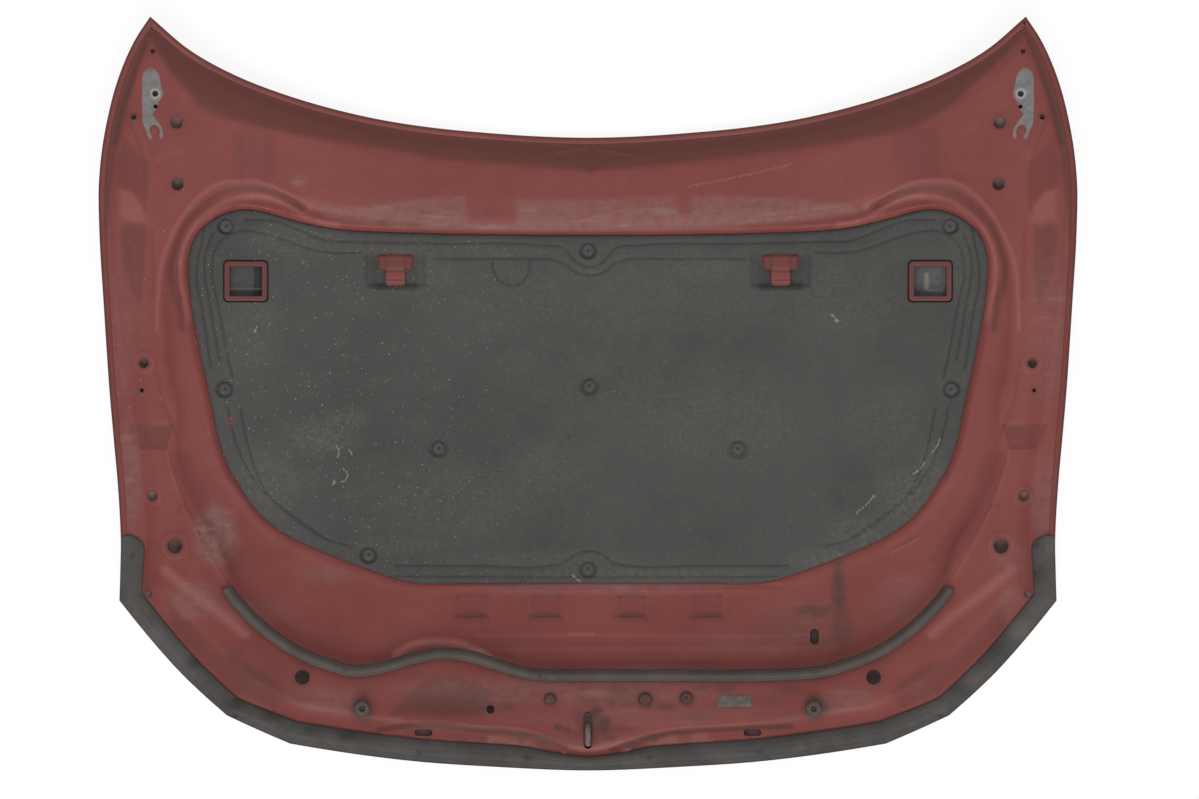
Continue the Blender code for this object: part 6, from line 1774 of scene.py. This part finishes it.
def build_front_seal(material):
    outline = finer(RINGS["outline"], OUTLINE_CORNERS)
    foot = finer(along(WALL_FOOT_INSET) - latch_bow(RINGS["outline"], LATCH_FOOT_BOW))
    lip = 2 * FOLD_RISE + SKIN_THICKNESS / 2 + 0.0004
    flange = FOLD_RISE + FRAME_THICKNESS / 2 + 0.0003
    near, far = SEAL_NEAR, foot - 0.0014
    notches = np.zeros(len(outline))
    for notch in SEAL_NOTCHES:
        notches = np.maximum(notches, bump(np.linalg.norm(outline - spot(*notch), axis=1) / 0.040) > 0.86)
    far = far - 0.0016 * notches
    first = spoke_station(SEAL_END_SPOKE) * FINER
    last = len(outline) - first
    for step, share in enumerate(SEAL_ROUNDING):
        for station in (first + step, last - step):
            far[station] = near + (far[station] - near) * share
    lines = []
    for share, rise in FRONT_SEAL_SECTION:
        distance = near + (far - near) * share
        base = np.where(distance < HEM_LIP, lip - 0.0003, flange)
        height = np.maximum(rise, base + 0.0016 if share < 0.1 else rise)
        lines.append(lifted(inset(outline, distance), height))
    low = ((far, flange), (HEM_LIP + 0.0006, flange), (HEM_LIP + 0.0006, lip), (near, lip))
    lines += [lifted(inset(outline, distance), rise) for distance, rise in low]

    def values(places, section):
        shade = np.isin(section, (4, 9, 13)) * 0.16 + np.isin(section, (0, 17)) * 0.45
        dimples = blobs(places, [(u, v, 4.5, 4.5, 0.6) for u, v in SEAL_DIMPLES])
        shade = np.maximum(shade, np.maximum(dimples, blobs(places, SEAL_BLOTCHES)))
        return shade, blobs(places, SEAL_PALE)

    strip("front_seal_strip", "front_seal", material, lines, first, last, values)


# Left half of the seal's ridged section, up to its middle, then the whole: across the land, and up
BAY_SEAL_HALF = (
    (-0.0088, 0.0004), (-0.0090, 0.0030), (-0.0084, 0.0062), (-0.0072, 0.0092), (-0.0060, 0.0112),
    (-0.0048, 0.0124), (-0.0040, 0.0128), (-0.0028, 0.0138), (-0.0016, 0.0140), (0.0, 0.0148),
)
BAY_SEAL_SECTION = BAY_SEAL_HALF + tuple((-across, up) for across, up in BAY_SEAL_HALF[-2::-1])
BAY_SEAL_DOTS = ((347, 670), (540.5, 675.8))


def build_bay_seal(material):
    ridge = finer(RINGS["ridge"])
    land = finer(along(LAND_RISE)) + FRAME_THICKNESS / 2 + 0.0003
    lines = [lifted(inset(ridge, -across), land + up) for across, up in BAY_SEAL_SECTION]

    def values(places, section):
        # Painted shade in the grooves and on the flanks, painted highlight on the three ridges
        shade = np.isin(section, (5, 6, 12, 13)) * 0.40 + np.isin(section, (8, 10)) * 0.34
        shade = shade + np.isin(section, (0, 1, 2, 16, 17, 18)) * 0.5
        dots = blobs(places, [(u, v, 3.2, 3.2, 1.0) for u, v in BAY_SEAL_DOTS])
        return np.maximum(shade, dots), np.isin(section, (7, 9, 11)) * 0.55

    first = (spoke_station(CORNER_SPOKE) + 2) * FINER
    strip("bay_seal_strip", "engine_bay_seal", material, lines, first, len(ridge) - first, values)


# Striker and foil

WIRE_RADIUS = 0.00425
WIRE_BEND = 0.0105
WIRE_LEGS = (-0.4965, -0.5225)
WIRE_TOP = 0.1391
WIRE_SIDES = 20
FOIL_CENTRE = np.array((219, -461.5)) * MM
FOIL_SIZE = (0.0500, 0.0158)
FOIL_CORNER = 0.0012
FOIL_THICKNESS = 0.0003


def build_striker(material):
    """A bent wire whose two legs end in the frame, one behind the other."""
    radius, bend, sides = WIRE_RADIUS, WIRE_BEND, WIRE_SIDES
    rear, front = WIRE_LEGS
    base = tree_z(FRAME_TREE, np.array([(0, (rear + front) / 2 + 0.004)]))[0] - 0.001
    high = WIRE_TOP - radius
    path = [(rear, base)]
    for centre, first in ((rear - bend, 0.0), (front + bend, 0.5)):
        for step in range(9):
            angle = math.pi * (first + 0.5 * step / 8)
            path.append((centre + bend * math.cos(angle), high - bend + bend * math.sin(angle)))
    path.append((front, base))
    path = dense_line(np.array(path), 0.002)
    step = np.gradient(path, axis=0)
    normal = np.stack([step[:, 1], -step[:, 0]], 1) / np.linalg.norm(step, axis=1)[:, None]
    angle = 2 * math.pi * np.arange(sides) / sides
    rings = [[(radius * math.sin(a), *(point + side * radius * math.cos(a))) for a in angle]
             for point, side in zip(path, normal)]
    points, faces = loft([np.array(ring) for ring in rings])
    values = {"shade": np.zeros(len(points)), "dust_and_highlight": np.zeros(len(points))}
    sheet = Sheet(points, faces, values)
    for loop in (list(range(sides)), list(range(len(points) - sides, len(points)))):
        middle = sheet.grow(sheet.points[loop].mean(0)[None], loop[:1])[0]
        sheet.faces += [(loop[k], loop[(k + 1) % sides], middle) for k in range(sides)]
    piece = sheet.piece("striker_wire", ("striker_loop",), "bare_steel", material)
    outward(piece)


def outward(piece):
    shape = bmesh.new()
    shape.from_mesh(piece.data)
    bmesh.ops.recalc_face_normals(shape, faces=shape.faces)
    shape.to_mesh(piece.data)
    shape.free()


def build_foil(material):
    outline = box_loop(FOIL_CENTRE, *FOIL_SIZE, FOIL_CORNER, 3, 0.002)

    def height(places):
        y = (places - FOIL_CENTRE)[:, 1]
        creases = bump((y - 0.0032) / 0.0009) + bump((y + 0.0036) / 0.0009)
        return frame_z(places) + 0.0008 + 0.00025 * creases

    sheet = patch(outline, 0.0016, height, FOIL_THICKNESS, ("shade", "dust_and_highlight"))
    sheet.piece("worn_foil_patch", ("worn_foil",), "foil", material)


def build():
    build_skin(SKIN)
    build_frame(RED)
    build_pad(FELT)
    build_clips(CLIP)
    build_buffers(BUFFER)
    build_plugs(PLUG)
    build_front_seal(FRONT_RUBBER)
    build_bay_seal(BAY_RUBBER)
    build_striker(WIRE)
    build_foil(FOIL)


# Floor, light and camera

FLOOR_DROP = 0.0004
FLOOR_REACH = 6.0
FLOOR_GLOW = 1.08
FLOOR_GREY = 0.86
FLOOR_SHADED = 0.20
KEY_TILT = 36
KEY_STRENGTH = 1.40
KEY_ANGLE = 40
AMBIENT = 0.62
WHITE = (1, 1, 1, 1)
# Height of the surface that the photograph's scale belongs to, and the shift from a pixel's corner to its middle
SCALE_HEIGHT = 0.06
PIXEL_MIDDLE = 0.5


def build_floor():
    """White floor: mostly glow, with a share that takes the bonnet's shadow."""
    mesh = bpy.data.meshes.new("floor")
    corners = [(x * FLOOR_REACH, y * FLOOR_REACH, -FLOOR_DROP) for x, y in ((-1, -1), (1, -1), (1, 1), (-1, 1))]
    mesh.from_pydata(corners, [], [(0, 1, 2, 3)])
    floor = bpy.data.objects.new("floor", mesh)
    bpy.context.scene.collection.objects.link(floor)
    item = bpy.data.materials.new("floor_white")
    item.use_nodes = True
    tree = item.node_tree
    tree.nodes.clear()
    glow = add_node(tree, "ShaderNodeEmission", {"Color": WHITE, "Strength": FLOOR_GLOW})
    plain = add_node(tree, "ShaderNodeBsdfDiffuse", {"Color": (FLOOR_GREY, FLOOR_GREY, FLOOR_GREY, 1)})
    mixed = add_node(tree, "ShaderNodeMixShader", {0: FLOOR_SHADED, 1: glow.outputs[0], 2: plain.outputs[0]})
    add_node(tree, "ShaderNodeOutputMaterial", {0: mixed.outputs[0]})
    mesh.materials.append(item)


def build_world():
    """White for the camera, softer light for the surfaces, and one wide lamp from the front."""
    world = bpy.data.worlds.new("studio")
    bpy.context.scene.world = world
    world.use_nodes = True
    tree = world.node_tree
    tree.nodes.clear()
    rays = add_node(tree, "ShaderNodeLightPath").outputs
    seen = rays["Is Camera Ray"]
    for ray in ("Is Glossy Ray", "Is Transmission Ray"):
        seen = add_node(tree, "ShaderNodeMath", {0: seen, 1: rays[ray]}, operation="MAXIMUM").outputs[0]
    soft, white = (add_node(tree, "ShaderNodeBackground", {"Color": WHITE, "Strength": strength}).outputs[0]
                   for strength in (AMBIENT, 1.0))
    mixed = add_node(tree, "ShaderNodeMixShader", {0: seen, 1: soft, 2: white})
    add_node(tree, "ShaderNodeOutputWorld", {0: mixed.outputs[0]})
    key = bpy.data.lights.new("key", "SUN")
    key.energy = KEY_STRENGTH
    key.angle = math.radians(KEY_ANGLE)
    lamp = bpy.data.objects.new("key", key)
    lamp.rotation_euler = (math.radians(KEY_TILT), 0, 0)
    bpy.context.scene.collection.objects.link(lamp)


def build_camera():
    settings = bpy.context.scene.view_settings
    settings.view_transform = "Standard"
    data = bpy.data.cameras.new("camera")
    middle = spot(PHOTO_SIZE[0] / 2 + PIXEL_MIDDLE, PHOTO_SIZE[1] / 2 + PIXEL_MIDDLE)
    data.sensor_width = SENSOR
    data.lens = SENSOR * (CAMERA_HEIGHT - SCALE_HEIGHT) / (PHOTO_SIZE[0] * PHOTO_SCALE)
    data.clip_end = 50
    camera = bpy.data.objects.new("camera", data)
    camera.location = (middle[0], middle[1], CAMERA_HEIGHT)
    bpy.context.scene.collection.objects.link(camera)
    bpy.context.scene.camera = camera


# The pieces that are carried over from the CAD as they are
STEEL_PARTS = ("striker_plate", "hinge_plate_left", "hinge_plate_right", "hinge_nut_left", "hinge_nut_right")
MASTIC_DOTS = tuple(f"mastic_{number}" for number in range(1, 7))
for names, material in ((STEEL_PARTS, STEEL), (MASTIC_DOTS, MASTIC)):
    for name in names:
        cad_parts[name].data.materials.clear()
        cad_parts[name].data.materials.append(material)

build()
build_floor()
build_world()
build_camera()
